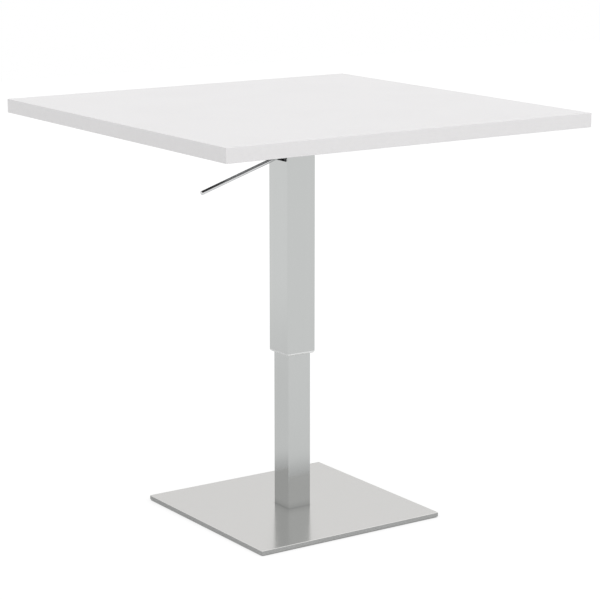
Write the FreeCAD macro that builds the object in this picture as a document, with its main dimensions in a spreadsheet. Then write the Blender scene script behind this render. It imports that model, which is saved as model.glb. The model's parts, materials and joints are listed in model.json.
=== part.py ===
import FreeCAD, Part

import math
import os
import re

import Sketcher

# Telescoping pedestal table: a square top on two square tubes, one sliding in the other, with a
# lockable gas spring inside them and a release lever under the top.
#
# Millimetres. The origin is on the floor, on the column's axis. +Z is up, and the lever leaves the
# column through its -X wall. Everything is drawn at rest, with the lift at its zero and the lever down.
#
# The piston rod stands on the foot block. The spring's cylinder hangs from the bridge plate in the
# outer tube, so it rises with the top. Lifting the lever's end presses the valve pin down.

VECTOR = FreeCAD.Vector

# Driving dimensions: alias, value, meaning. Angles are in degrees.
SIZES = (
    # tabletop
    ("TableHeight", 802.0, "floor to the upper face of the top, at rest"),
    ("TopSide", 800.0, "side of the square top"),
    ("CoreThickness", 25.0, "particle board core"),
    ("LaminateThickness", 1.0, "laminate on each face of the core"),
    ("BandThickness", 2.0, "edge band"),
    ("BandRound", 0.8, "round on the long outer edges of a band"),
    # mounting plate and its wood screws
    ("TopPlateSide", 262.0, "side of the mounting plate"),
    ("TopPlateThickness", 5.0, "mounting plate"),
    ("TopPlateCorner", 14.0, "corner radius of the mounting plate"),
    ("WoodScrewPitch", 226.0, "side of the square that the wood screws stand on"),
    ("WoodScrewRadius", 2.25, "shank of a wood screw"),
    ("WoodScrewHeadRadius", 4.5, "head of a wood screw"),
    ("WoodScrewHeadHeight", 2.8, "head of a wood screw"),
    ("WoodScrewHeadFlat", 2.7, "radius of the flat on its head"),
    ("WoodScrewHeadRim", 0.9, "straight rim of its head"),
    ("WoodScrewLength", 21.0, "wood screw under its head"),
    ("WoodScrewSocket", 1.5, "half width across the flats of its socket"),
    ("WoodScrewSocketDepth", 1.7, "socket of a wood screw"),
    # outer tube, which carries the top
    ("OuterSide", 63.5, "side of the outer tube"),
    ("OuterWall", 3.0, "wall of the outer tube"),
    ("OuterCorner", 1.0, "outer corner radius of the outer tube"),
    ("OuterBoreCorner", 0.5, "corner radius inside the outer tube"),
    ("RimRound", 5.0, "round on the lower rim of the outer tube"),
    ("LipHeight", 7.0, "turned-in lip at the outer tube's lower end"),
    ("SlotWidth", 56.0, "lever slot, across the tube's wall"),
    ("SlotHeight", 45.0, "lever slot"),
    ("SlotDrop", 11.9, "lower edge of the slot, below the lever's pivot"),
    # lower tube and foot
    ("LowerSide", 50.8, "side of the lower tube"),
    ("LowerWall", 2.5, "wall of the lower tube"),
    ("LowerCorner", 1.0, "outer corner radius of the lower tube"),
    ("LowerBoreCorner", 0.5, "corner radius inside the lower tube"),
    ("BaseSide", 412.0, "side of the base plate"),
    ("BaseThickness", 8.0, "base plate"),
    ("BaseCorner", 1.6, "corner radius of the base plate"),
    ("BaseBevel", 0.7, "bevel on the upper edges of the base plate"),
    ("CentreHoleRadius", 11.0, "hole in the base plate for the rod's nut"),
    ("PadRadius", 14.0, "foot pad"),
    ("PadThickness", 2.0, "foot pad"),
    ("PadBevel", 0.5, "bevel on a foot pad's lower edge"),
    ("PadInset", 24.0, "foot pad's centre from the sides of the plate"),
    ("FootBlockThickness", 12.0, "block welded into the lower tube's foot"),
    ("BaseScrewPitch", 30.0, "side of the square that the base screws stand on"),
    ("BaseScrewRadius", 4.0, "thread of a base screw"),
    ("BaseScrewHeadRadius", 7.8, "countersunk head of a base screw"),
    ("BaseScrewLength", 17.5, "whole length of a base screw"),
    ("BaseScrewSocket", 2.5, "half width across the flats of its socket"),
    ("BaseScrewSocketDepth", 2.8, "socket of a base screw"),
    # guides between the tubes
    ("UpperGuideSkirt", 40.0, "part of the upper guide round the lower tube"),
    ("UpperGuideLip", 4.0, "part of the upper guide over the lower tube's end"),
    ("LowerGuideLength", 40.0, "bush that stands on the outer tube's lip"),
    ("GuideReliefWidth", 34.0, "relieved strip along each side of a guide"),
    ("GuideReliefDepth", 0.8, "relieved strip along each side of a guide"),
    # gas spring
    ("LiftUp", 180.0, "travel up from rest"),
    ("LiftDown", 60.0, "travel down from rest"),
    ("GuideRoom", 3.0, "between the two guides, with the top fully up"),
    ("BridgeRoom", 18.0, "upper guide below the bridge plate, with the top fully down"),
    ("StrokeSpare", 1.0, "piston's spare travel at each end of the cylinder"),
    ("CylinderRadius", 14.0, "outside of the cylinder"),
    ("CylinderWall", 1.5, "wall of the cylinder"),
    ("RodRadius", 5.0, "piston rod"),
    ("RodStudRadius", 4.0, "stud at the rod's foot"),
    ("RodStudEnd", 1.2, "stud's end above the base plate's lower face"),
    ("RodSpigotRadius", 3.0, "spigot that carries the piston"),
    ("PistonLength", 14.0, "piston"),
    ("RingGrooveDepth", 2.4, "groove of the piston ring"),
    ("RingLength", 4.0, "piston ring"),
    ("RodGuideLength", 16.0, "rod guide in the cylinder's lower end"),
    ("RodSealLength", 4.0, "seal in the rod guide"),
    ("RodSealRadius", 8.5, "seal in the rod guide"),
    ("NeckFlange", 14.0, "part of the neck inside the cylinder"),
    ("NeckRadius", 9.0, "threaded neck of the spring"),
    ("NeckReach", 12.0, "neck above the bridge plate"),
    ("ValvePinRadius", 4.0, "valve pin"),
    ("ValvePinLength", 42.0, "valve pin"),
    ("ValvePinTop", 28.0, "valve pin's top above the bridge plate"),
    ("ValvePinSpare", 1.9, "room below the pin past its travel"),
    ("ValvePinTravel", 2.1, "valve pin's travel"),
    ("WasherRadius", 9.0, "washer under the foot block"),
    ("WasherThickness", 1.6, "washer under the foot block"),
    ("RodNutHalfFlats", 6.5, "half width across the flats of the rod's nut"),
    ("RodNutHeight", 5.0, "rod's nut"),
    # bridge plate and release head
    ("BridgeDrop", 92.0, "bridge plate's upper face below the outer tube's top"),
    ("BridgeThickness", 6.0, "bridge plate"),
    ("HeadFront", 24.0, "release head from the column's axis towards -X"),
    ("HeadBack", 14.0, "release head from the column's axis towards +X"),
    ("HeadWidth", 28.0, "release head along Y"),
    ("HeadHeight", 18.0, "release head below its ears"),
    ("HeadPinRadius", 5.5, "hole over the neck, round the valve pin"),
    ("HeadBevel", 1.5, "bevels of the release head"),
    ("EarRadius", 8.0, "round top of an ear, about the pivot"),
    ("EarThickness", 5.0, "ear"),
    ("PivotReach", 14.0, "pivot from the column's axis towards -X"),
    ("PivotRise", 33.9, "pivot above the bridge plate"),
    ("PivotRadius", 2.5, "pivot pin"),
    ("PivotHeadRadius", 4.0, "head of the pivot pin"),
    ("PivotHeadHeight", 2.0, "head of the pivot pin"),
    ("PivotTail", 2.6, "pivot pin past the far ear"),
    ("ClipRadius", 4.6, "retaining clip on the pivot pin"),
    ("ClipThickness", 0.8, "retaining clip on the pivot pin"),
    ("ClipGrooveDepth", 0.6, "groove of the retaining clip"),
    # lever
    ("LeverDroop", 17.5, "lever below the horizontal, at rest"),
    ("LeverReach", 199.2, "lever's end from its pivot"),
    ("LeverRadius", 4.0, "lever rod"),
    ("LeverEndBevel", 0.9, "bevel on the lever's end"),
    ("LeverSpigotRadius", 3.0, "threaded spigot of the lever rod"),
    ("LeverSpigotLength", 9.0, "threaded spigot of the lever rod"),
    ("BlockWidth", 10.0, "lever block along Y"),
    ("BlockReach", 15.0, "lever block from the pivot to the rod's shoulder"),
    ("BlockHalfHeight", 6.0, "half height of the block's socket"),
    ("BossRadius", 7.0, "lever block round the pivot"),
    ("NoseRadius", 5.0, "lever block's nose over the valve pin"),
    ("LeverGap", 0.3, "nose above the valve pin, at rest"),
    ("GrubRadius", 1.5, "grub screw on the spigot"),
    ("GrubPlace", 10.5, "grub screw from the pivot, along the lever"),
    # clearances
    ("GuideGap", 0.3, "guide to the tube that slides on it"),
    ("SeatGap", 0.1, "guide, block or plate to the tube that holds it"),
    ("LipGap", 1.0, "lip of the outer tube to the lower tube"),
    ("SideGap", 0.3, "lever block to an ear"),
    ("CylinderGap", 1.0, "cylinder in the upper guide's hole"),
    ("PistonGap", 0.3, "piston and its ring to the cylinder"),
    ("ShaftGap", 0.05, "shaft, thread or pin in its hole, on the radius"),
    ("HoleGap", 0.25, "screw in a clearance hole, on the radius"),
)

# Levels and sizes that follow from the driving dimensions. Names are opened by formula().
DERIVED = {
    "TopUnderside": "TableHeight - CoreThickness - 2 * LaminateThickness",
    "CoreBottom": "TopUnderside + LaminateThickness",
    "CoreSide": "TopSide - 2 * BandThickness",
    "TubeTop": "TopUnderside - TopPlateThickness",
    "BridgeTop": "TubeTop - BridgeDrop",
    "CylinderTop": "BridgeTop - BridgeThickness",
    "BaseTop": "PadThickness + BaseThickness",
    "FootBlockTop": "BaseTop + FootBlockThickness",
    "LowerTop": "CylinderTop - LiftDown - BridgeRoom - UpperGuideLip",
    "UpperGuideBottom": "LowerTop - UpperGuideSkirt",
    "LowerGuideBottom": "UpperGuideBottom - GuideRoom - LiftUp - LowerGuideLength",
    "TubeBottom": "LowerGuideBottom - LipHeight",
    "OuterBore": "OuterSide - 2 * OuterWall",
    "LowerBore": "LowerSide - 2 * LowerWall",
    "CylinderBore": "CylinderRadius - CylinderWall",
    "Stroke": "LiftUp + LiftDown + 2 * StrokeSpare",
    "CylinderLength": "RodGuideLength + Stroke + PistonLength + NeckFlange",
    "CylinderBottom": "CylinderTop - CylinderLength",
    "PistonBottom": "CylinderBottom + RodGuideLength + StrokeSpare + LiftUp",
    "PistonRadius": "CylinderBore - PistonGap",
    "RingRadius": "PistonRadius - RingGrooveDepth",
    "PivotHeight": "BridgeTop + PivotRise",
    "SlotBottom": "PivotHeight - SlotDrop",
    "NoseHeight": "ValvePinTop + LeverGap + NoseRadius - PivotRise",
    "EarInside": "BlockWidth / 2 + SideGap",
    "EarOutside": "EarInside + EarThickness",
    "SpigotStart": "BlockReach - LeverSpigotLength",
}

document = FreeCAD.newDocument("PedestalTable")
sheet = document.addObject("Spreadsheet::Sheet", "Sizes")
nodes = []


# ---------------------------------------------------------------- sizes

def fill_sheet():
    """Writes each driving dimension to a row of the sheet: its number, under its alias, and its meaning."""
    for row, (alias, number, meaning) in enumerate(SIZES, start=1):
        sheet.set("A%d" % row, str(number))
        sheet.setAlias("A%d" % row, alias)
        sheet.set("B%d" % row, meaning)
    document.recompute()


def formula(text):
    """The expression for a text of size names: derived names are opened, the rest name their cells."""
    def opened(match):
        word = match.group(0)
        if word in DERIVED:
            return "(" + formula(DERIVED[word]) + ")"
        return "Sizes." + word
    return re.sub(r"[A-Z]\w+", opened, text)


def value(text):
    """The number that a text of size names gives."""
    return float(sheet.evalExpression(formula(text)))


def bind(thing, **places):
    """Binds properties to formulas. Two underscores in a name stand for a dot."""
    for name, text in places.items():
        thing.setExpression(name.replace("__", "."), formula(text))


# ---------------------------------------------------------------- bodies and sketches

def new_body(label):
    """An empty body. Its label is the name of the sub-part."""
    body = document.addObject("PartDesign::Body", "Body_" + label)
    body.Label = label
    return body


def new_sketch(body, role, offset="0"):
    """A sketch on one of the body's origin planes, offset along the plane's normal."""
    sketch = body.newObject("Sketcher::SketchObject", "Sketch")
    plane = next(o for o in body.Origin.OriginFeatures if o.Role == role)
    sketch.AttachmentSupport = [(plane, "")]
    sketch.MapMode = "FlatFace"
    sketch.setExpression("AttachmentOffset.Base.z", formula(offset))
    return sketch


def pin_point(sketch, geometry, place, x, y):
    """Fixes a point of the sketch at x, y, both given as texts."""
    for kind, text in (("DistanceX", x), ("DistanceY", y)):
        index = sketch.addConstraint(Sketcher.Constraint(kind, -1, 1, geometry, place, value(text)))
        sketch.setExpression("Constraints[%d]" % index, formula(text))


def pin_radius(sketch, geometry, radius):
    """Fixes the radius of a circle or an arc of the sketch, given as a text."""
    index = sketch.addConstraint(Sketcher.Constraint("Radius", geometry, value(radius)))
    sketch.setExpression("Constraints[%d]" % index, formula(radius))


def draw_polygon(sketch, points):
    """A closed outline through points, each a pair of texts."""
    first = sketch.GeometryCount
    corners = [VECTOR(value(x), value(y), 0) for x, y in points]
    count = len(corners)
    for i in range(count):
        sketch.addGeometry(Part.LineSegment(corners[i], corners[(i + 1) % count]), False)
    for i in range(count):
        following = first + (i + 1) % count
        sketch.addConstraint(Sketcher.Constraint("Coincident", first + i, 2, following, 1))
    for i, (x, y) in enumerate(points):
        pin_point(sketch, first + i, 1, x, y)


def draw_rectangle(sketch, x_low, x_high, y_low, y_high):
    """A rectangle between four limits."""
    draw_polygon(sketch, [(x_low, y_low), (x_high, y_low), (x_high, y_high), (x_low, y_high)])


def draw_square(sketch, side):
    """A square about the sketch's origin."""
    low, high = "-(%s) / 2" % side, "(%s) / 2" % side
    draw_rectangle(sketch, low, high, low, high)


def draw_circle(sketch, radius, x="0", y="0"):
    """A circle about x, y."""
    circle = Part.Circle(VECTOR(value(x), value(y), 0), VECTOR(0, 0, 1), value(radius))
    index = sketch.addGeometry(circle, False)
    pin_point(sketch, index, 3, x, y)
    pin_radius(sketch, index, radius)


def draw_hexagon(sketch, half_flats):
    """A hexagon about the sketch's origin, with two of its flats along the sketch's y."""
    corner = "(%s) / cos(30)" % half_flats
    turns = (30, 90, 150, 210, 270, 330)
    points = [("%s * cos(%d)" % (corner, turn), "%s * sin(%d)" % (corner, turn)) for turn in turns]
    draw_polygon(sketch, points)


# ---------------------------------------------------------------- features

def new_feature(body, kind, sketch):
    """A feature of the body made from a sketch, after the sketch is solved."""
    document.recompute()
    feature = body.newObject("PartDesign::" + kind, kind)
    feature.Profile = (sketch, [""])
    return feature


def pad(body, sketch, length, symmetric=False):
    """Adds the sketch's outline, along its normal or to both sides of it."""
    feature = new_feature(body, "Pad", sketch)
    feature.SideType = "Symmetric" if symmetric else "One side"
    bind(feature, Length=length)
    document.recompute()


def pocket(body, sketch, length, symmetric=False, taper=None):
    """Cuts the sketch's outline away, along its normal or to both sides, and makes sure that it cuts."""
    before = body.Shape.Volume
    feature = new_feature(body, "Pocket", sketch)
    feature.SideType = "Symmetric" if symmetric else "One side"
    feature.Reversed = True
    bind(feature, Length=length)
    if taper:
        bind(feature, TaperAngle=taper)
    document.recompute()
    if body.Shape.Volume >= before:
        raise RuntimeError("a pocket of %s cuts nothing" % body.Label)


def revolve(body, sketch):
    """Turns the sketch's outline round its own vertical axis."""
    feature = new_feature(body, "Revolution", sketch)
    feature.ReferenceAxis = (sketch, ["V_Axis"])
    feature.Angle = 360
    document.recompute()


def dress(body, kind, size, wanted):
    """A fillet or chamfer on the edges of the body's last feature that wanted() picks."""
    base = body.Tip
    names = ["Edge%d" % (i + 1) for i, edge in enumerate(base.Shape.Edges) if wanted(edge)]
    if not names:
        raise RuntimeError("no edge to dress on %s" % body.Label)
    feature = body.newObject("PartDesign::" + kind, kind)
    feature.Base = (base, names)
    if kind == "Fillet":
        bind(feature, Radius=size)
    else:
        bind(feature, Size=size)
    document.recompute()


TOUCH = 1e-4


def upright(edge):
    """A straight edge along Z."""
    box = edge.BoundBox
    return box.XLength < TOUCH and box.YLength < TOUCH


def level_at(text):
    """Picks the edges that lie in one level plane."""
    height = value(text)
    return lambda edge: edge.BoundBox.ZLength < TOUCH and abs(edge.BoundBox.ZMin - height) < TOUCH


def reaches(edge, half_side):
    """Whether an edge's middle lies as far out as a square of that half side."""
    centre = edge.BoundBox.Center
    return max(abs(centre.x), abs(centre.y)) > half_side - TOUCH


def place(thing, x="0", y="0", z="0"):
    """Binds where a sub-part stands."""
    bind(thing, Placement__Base__x=x, Placement__Base__y=y, Placement__Base__z=z)


def turned(label, outline):
    """A body turned about Z from its half outline, given as radius and height pairs."""
    body = new_body(label)
    sketch = new_sketch(body, "XZ_Plane")
    draw_polygon(sketch, outline)
    revolve(body, sketch)
    return body


def ring(label, inner, outer, low, high):
    """A turned body with a straight bore."""
    return turned(label, [(inner, low), (outer, low), (outer, high), (inner, high)])


def keep(thing):
    """Lists a finished sub-part for the checks and for export."""
    nodes.append(thing)
    return thing


def group(label, pattern, places):
    """Copies of one piece as separate solids of one sub-part, each at its own x, y."""
    copies = []
    for x, y in places:
        copy = document.addObject("App::Link", pattern.Label + "_copy")
        copy.LinkedObject = pattern
        copy.LinkTransform = True
        place(copy, x, y)
        copies.append(copy)
    compound = document.addObject("Part::Compound", "Group_" + label)
    compound.Label = label
    compound.Links = copies
    document.recompute()
    return keep(compound)


def corners_of(half):
    """The four corners of a square, as x and y texts."""
    low, high = "-(%s)" % half, half
    return [(low, low), (high, low), (high, high), (low, high)]


# ---------------------------------------------------------------- foot and lower tube

def base_plate():
    body = new_body("base_plate")
    outline = new_sketch(body, "XY_Plane", "PadThickness")
    draw_square(outline, "BaseSide")
    pad(body, outline, "BaseThickness")
    dress(body, "Fillet", "BaseCorner", upright)
    dress(body, "Chamfer", "BaseBevel", level_at("BaseTop"))
    holes = new_sketch(body, "XY_Plane", "PadThickness")
    draw_circle(holes, "CentreHoleRadius")
    for x, y in corners_of("BaseScrewPitch / 2"):
        draw_circle(holes, "BaseScrewRadius + HoleGap", x, y)
    pocket(body, holes, "BaseThickness")
    countersinks = new_sketch(body, "XY_Plane", "PadThickness")
    for x, y in corners_of("BaseScrewPitch / 2"):
        draw_circle(countersinks, "BaseScrewHeadRadius + ShaftGap", x, y)
    pocket(body, countersinks, "BaseScrewHeadRadius - BaseScrewRadius", taper="-45")
    return keep(body)


def foot_pads():
    half = "(BaseSide / 2 - PadInset)"
    for number, (x, y) in enumerate(corners_of(half), start=1):
        pad_body = turned("foot_pad_%d" % number, [
            ("0", "0"),
            ("PadRadius - PadBevel", "0"),
            ("PadRadius", "PadBevel"),
            ("PadRadius", "PadThickness"),
            ("0", "PadThickness"),
        ])
        place(pad_body, x, y)
        keep(pad_body)


def base_screws():
    """Countersunk socket screws, from under the plate into the foot block."""
    cone = "BaseScrewHeadRadius - BaseScrewRadius"
    screw = turned("base_screw", [
        ("0", "PadThickness"),
        ("BaseScrewHeadRadius", "PadThickness"),
        ("BaseScrewRadius", "PadThickness + %s" % cone),
        ("BaseScrewRadius", "PadThickness + BaseScrewLength"),
        ("0", "PadThickness + BaseScrewLength"),
    ])
    socket = new_sketch(screw, "XY_Plane", "PadThickness")
    draw_hexagon(socket, "BaseScrewSocket")
    pocket(screw, socket, "BaseScrewSocketDepth")
    group("base_screws", screw, corners_of("BaseScrewPitch / 2"))


def foot_block():
    """Block welded into the lower tube's foot. It takes the base screws and carries the piston rod."""
    body = new_body("foot_block")
    outline = new_sketch(body, "XY_Plane", "BaseTop")
    draw_square(outline, "LowerBore - 2 * SeatGap")
    pad(body, outline, "FootBlockThickness")
    dress(body, "Fillet", "LowerBoreCorner + SeatGap", upright)
    holes = new_sketch(body, "XY_Plane", "BaseTop")
    draw_circle(holes, "RodStudRadius + ShaftGap")
    for x, y in corners_of("BaseScrewPitch / 2"):
        draw_circle(holes, "BaseScrewRadius + ShaftGap", x, y)
    pocket(body, holes, "FootBlockThickness")
    return keep(body)


def square_tube(label, side, wall, corners, bottom, top, lip="0"):
    """A square tube about the column's axis, with rounded corners, solid over the lip's height."""
    corner, bore_corner = corners
    body = new_body(label)
    outline = new_sketch(body, "XY_Plane", bottom)
    draw_square(outline, side)
    pad(body, outline, "%s - (%s)" % (top, bottom))
    dress(body, "Fillet", corner, upright)
    square_hole(body, "%s - 2 * %s" % (side, wall), bore_corner, "%s + %s" % (bottom, lip), top)
    return body


def square_hole(body, side, corner, low, high):
    """A square hole about the column's axis between two levels, with rounded corners."""
    hole = new_sketch(body, "XY_Plane", low)
    draw_square(hole, side)
    pocket(body, hole, "%s - (%s)" % (high, low))
    half_side = value("(%s) / 2" % side)
    dress(body, "Fillet", corner, lambda edge: upright(edge) and is_corner(edge, half_side))


def is_corner(edge, half_side):
    """Whether an upright edge stands at a corner of a square of that half side."""
    centre = edge.BoundBox.Center
    return abs(abs(centre.x) - half_side) < TOUCH and abs(abs(centre.y) - half_side) < TOUCH


def lower_tube():
    corners = ("LowerCorner", "LowerBoreCorner")
    return keep(square_tube("lower_tube", "LowerSide", "LowerWall", corners, "BaseTop", "LowerTop"))


def rod_fixing():
    """Washer and thin nut that hold the rod's stud under the foot block, inside the plate's hole."""
    washer_low = "BaseTop - WasherThickness"
    nut_low = "%s - RodNutHeight" % washer_low
    keep(ring("rod_washer", "RodStudRadius + ShaftGap", "WasherRadius", washer_low, "BaseTop"))
    nut = new_body("rod_nut")
    outline = new_sketch(nut, "XY_Plane", nut_low)
    draw_hexagon(outline, "RodNutHalfFlats")
    draw_circle(outline, "RodStudRadius + ShaftGap")
    pad(nut, outline, "RodNutHeight")
    keep(nut)


# ---------------------------------------------------------------- guides

def relieve(body, bottom, length, half_side, outward):
    """Cuts a shallow strip along each side of a guide, so that it runs near its corners."""
    sketch = new_sketch(body, "XY_Plane", bottom)
    half = "GuideReliefWidth / 2"
    near, far = "%s - GuideReliefDepth" % half_side, "%s + GuideReliefDepth" % half_side
    if outward:
        near, far = half_side, "%s + GuideReliefDepth" % half_side
    for low, high in ((near, far), ("-(%s)" % far, "-(%s)" % near)):
        draw_rectangle(sketch, low, high, "-" + half, half)
        draw_rectangle(sketch, "-" + half, half, low, high)
    pocket(body, sketch, length)


def upper_guide():
    """Plastic cap on the lower tube's end, which runs in the outer tube."""
    body = new_body("upper_guide")
    bottom = "UpperGuideBottom"
    length = "UpperGuideSkirt + UpperGuideLip"
    side = "OuterBore - 2 * GuideGap"
    outline = new_sketch(body, "XY_Plane", bottom)
    draw_square(outline, side)
    pad(body, outline, length)
    dress(body, "Fillet", "OuterBoreCorner + GuideGap", upright)
    relieve(body, bottom, length, "(%s) / 2" % side, outward=False)
    skirt = new_sketch(body, "XY_Plane", bottom)
    draw_square(skirt, "LowerSide + 2 * SeatGap")
    pocket(body, skirt, "UpperGuideSkirt")
    hole = new_sketch(body, "XY_Plane", bottom)
    draw_circle(hole, "CylinderRadius + CylinderGap")
    pocket(body, hole, length)
    return keep(body)


def lower_guide():
    """Plastic bush on the outer tube's lip, which runs on the lower tube."""
    body = new_body("lower_guide")
    bottom = "LowerGuideBottom"
    bore = "LowerSide + 2 * GuideGap"
    outline = new_sketch(body, "XY_Plane", bottom)
    draw_square(outline, "OuterBore - 2 * SeatGap")
    pad(body, outline, "LowerGuideLength")
    dress(body, "Fillet", "OuterBoreCorner + SeatGap", upright)
    hole = new_sketch(body, "XY_Plane", bottom)
    draw_square(hole, bore)
    pocket(body, hole, "LowerGuideLength")
    relieve(body, bottom, "LowerGuideLength", "(%s) / 2" % bore, outward=True)
    return keep(body)


# ---------------------------------------------------------------- gas spring

def piston_rod():
    """Rod that stands on the foot block, with a stud below and the piston's spigot above."""
    return keep(turned("piston_rod", [
        ("0", "PadThickness + RodStudEnd"),
        ("RodStudRadius", "PadThickness + RodStudEnd"),
        ("RodStudRadius", "FootBlockTop"),
        ("RodRadius", "FootBlockTop"),
        ("RodRadius", "PistonBottom"),
        ("RodSpigotRadius", "PistonBottom"),
        ("RodSpigotRadius", "PistonBottom + PistonLength"),
        ("0", "PistonBottom + PistonLength"),
    ]))


def piston():
    """Piston with a groove half way up, and the ring in the groove."""
    bore = "RodSpigotRadius + ShaftGap"
    low, high = "PistonBottom", "PistonBottom + PistonLength"
    groove_low = "PistonBottom + (PistonLength - RingLength) / 2"
    groove_high = "PistonBottom + (PistonLength + RingLength) / 2"
    keep(turned("piston", [
        (bore, low),
        ("PistonRadius", low),
        ("PistonRadius", groove_low),
        ("RingRadius", groove_low),
        ("RingRadius", groove_high),
        ("PistonRadius", groove_high),
        ("PistonRadius", high),
        (bore, high),
    ]))
    keep(ring("piston_ring", "RingRadius + ShaftGap", "PistonRadius", groove_low, groove_high))


def gas_cylinder():
    return keep(ring("gas_cylinder", "CylinderBore", "CylinderRadius", "CylinderBottom", "CylinderTop"))


def rod_guide():
    """Guide in the cylinder's lower end, with the rod's seal in a recess at its top."""
    bore, outside = "RodRadius + ShaftGap", "CylinderBore - ShaftGap"
    low, high = "CylinderBottom", "CylinderBottom + RodGuideLength"
    seal_low = "%s - RodSealLength" % high
    keep(turned("rod_guide", [
        (bore, low),
        (outside, low),
        (outside, high),
        ("RodSealRadius", high),
        ("RodSealRadius", seal_low),
        (bore, seal_low),
    ]))
    keep(ring("rod_seal", bore, "RodSealRadius - ShaftGap", seal_low, high))


def spring_neck():
    """End plug of the cylinder. Its neck goes up through the bridge plate and guides the valve pin."""
    outside = "CylinderBore - ShaftGap"
    bore = "ValvePinRadius + ShaftGap"
    flange_low = "CylinderTop - NeckFlange"
    bore_low = "BridgeTop + ValvePinTop - ValvePinLength - ValvePinTravel - ValvePinSpare"
    neck_top = "BridgeTop + NeckReach"
    return keep(turned("spring_neck", [
        ("0", flange_low),
        (outside, flange_low),
        (outside, "CylinderTop"),
        ("NeckRadius", "CylinderTop"),
        ("NeckRadius", neck_top),
        (bore, neck_top),
        (bore, bore_low),
        ("0", bore_low),
    ]))


def valve_pin():
    """Pin that opens the spring's valve when it is pressed down."""
    top = "BridgeTop + ValvePinTop"
    bevel = "ValvePinRadius / 5"
    return keep(turned("valve_pin", [
        ("0", "%s - ValvePinLength" % top),
        ("ValvePinRadius", "%s - ValvePinLength" % top),
        ("ValvePinRadius", "%s - %s" % (top, bevel)),
        ("ValvePinRadius - %s" % bevel, top),
        ("0", top),
    ]))


# ---------------------------------------------------------------- outer tube and release head

def outer_tube():
    """Outer tube with a rounded lip at its lower end and the lever's slot in its -X wall."""
    corners = ("OuterCorner", "OuterBoreCorner")
    body = square_tube("outer_tube", "OuterSide", "OuterWall", corners, "TubeBottom", "TubeTop",
                       lip="LipHeight")
    square_hole(body, "(LowerSide + 2 * LipGap)", "(LowerCorner + LipGap)", "TubeBottom", "LowerGuideBottom")
    for role in ("XZ_Plane", "YZ_Plane"):
        rim = new_sketch(body, role)
        draw_rim_cut(rim, 1)
        draw_rim_cut(rim, -1)
        pocket(body, rim, "2 * OuterSide", symmetric=True)
    slot = new_sketch(body, "YZ_Plane", "-OuterSide / 2 - OuterWall")
    draw_rectangle(slot, "-SlotWidth / 2", "SlotWidth / 2", "SlotBottom", "SlotBottom + SlotHeight")
    pocket(body, slot, "3 * OuterWall")
    return keep(body)


def draw_rim_cut(sketch, side):
    """What the rim's round takes off the tube on one side, 1 or -1, with room to spare outside."""
    x_centre, z_centre = "%d * (OuterSide / 2 - RimRound)" % side, "TubeBottom + RimRound"
    x_far, z_far = "%d * (OuterSide / 2 + RimRound)" % side, "TubeBottom - RimRound"
    centre = VECTOR(value(x_centre), value(z_centre), 0)
    circle = Part.Circle(centre, VECTOR(0, 0, 1), value("RimRound"))
    first_angle = 1.5 * math.pi if side > 0 else math.pi
    arc = sketch.addGeometry(Part.ArcOfCircle(circle, first_angle, first_angle + math.pi / 2), False)
    beside, below = (2, 1) if side > 0 else (1, 2)
    ends = [(value(x_centre) + side * value("RimRound"), centre.y), (value(x_far), centre.y),
            (value(x_far), value(z_far)), (centre.x, value(z_far)), (centre.x, value("TubeBottom"))]
    lines = [sketch.addGeometry(Part.LineSegment(VECTOR(*start, 0), VECTOR(*end, 0)), False)
             for start, end in zip(ends, ends[1:])]
    sketch.addConstraint([
        Sketcher.Constraint("Coincident", arc, beside, lines[0], 1),
        Sketcher.Constraint("Coincident", lines[0], 2, lines[1], 1),
        Sketcher.Constraint("Coincident", lines[1], 2, lines[2], 1),
        Sketcher.Constraint("Coincident", lines[2], 2, lines[3], 1),
        Sketcher.Constraint("Coincident", lines[3], 2, arc, below),
        Sketcher.Constraint("Horizontal", lines[0]),
        Sketcher.Constraint("Vertical", lines[3]),
    ])
    pin_point(sketch, arc, 3, x_centre, z_centre)
    pin_radius(sketch, arc, "RimRound")
    pin_point(sketch, lines[1], 1, x_far, z_centre)
    pin_point(sketch, lines[2], 1, x_far, z_far)
    pin_point(sketch, lines[3], 1, x_centre, z_far)


def bridge_plate():
    """Plate welded across the outer tube. The spring lifts the table through it."""
    body = new_body("bridge_plate")
    outline = new_sketch(body, "XY_Plane", "CylinderTop")
    draw_square(outline, "OuterBore - 2 * SeatGap")
    pad(body, outline, "BridgeThickness")
    dress(body, "Fillet", "OuterBoreCorner + SeatGap", upright)
    hole = new_sketch(body, "XY_Plane", "CylinderTop")
    draw_circle(hole, "NeckRadius + HoleGap")
    pocket(body, hole, "BridgeThickness")
    return keep(body)


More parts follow.
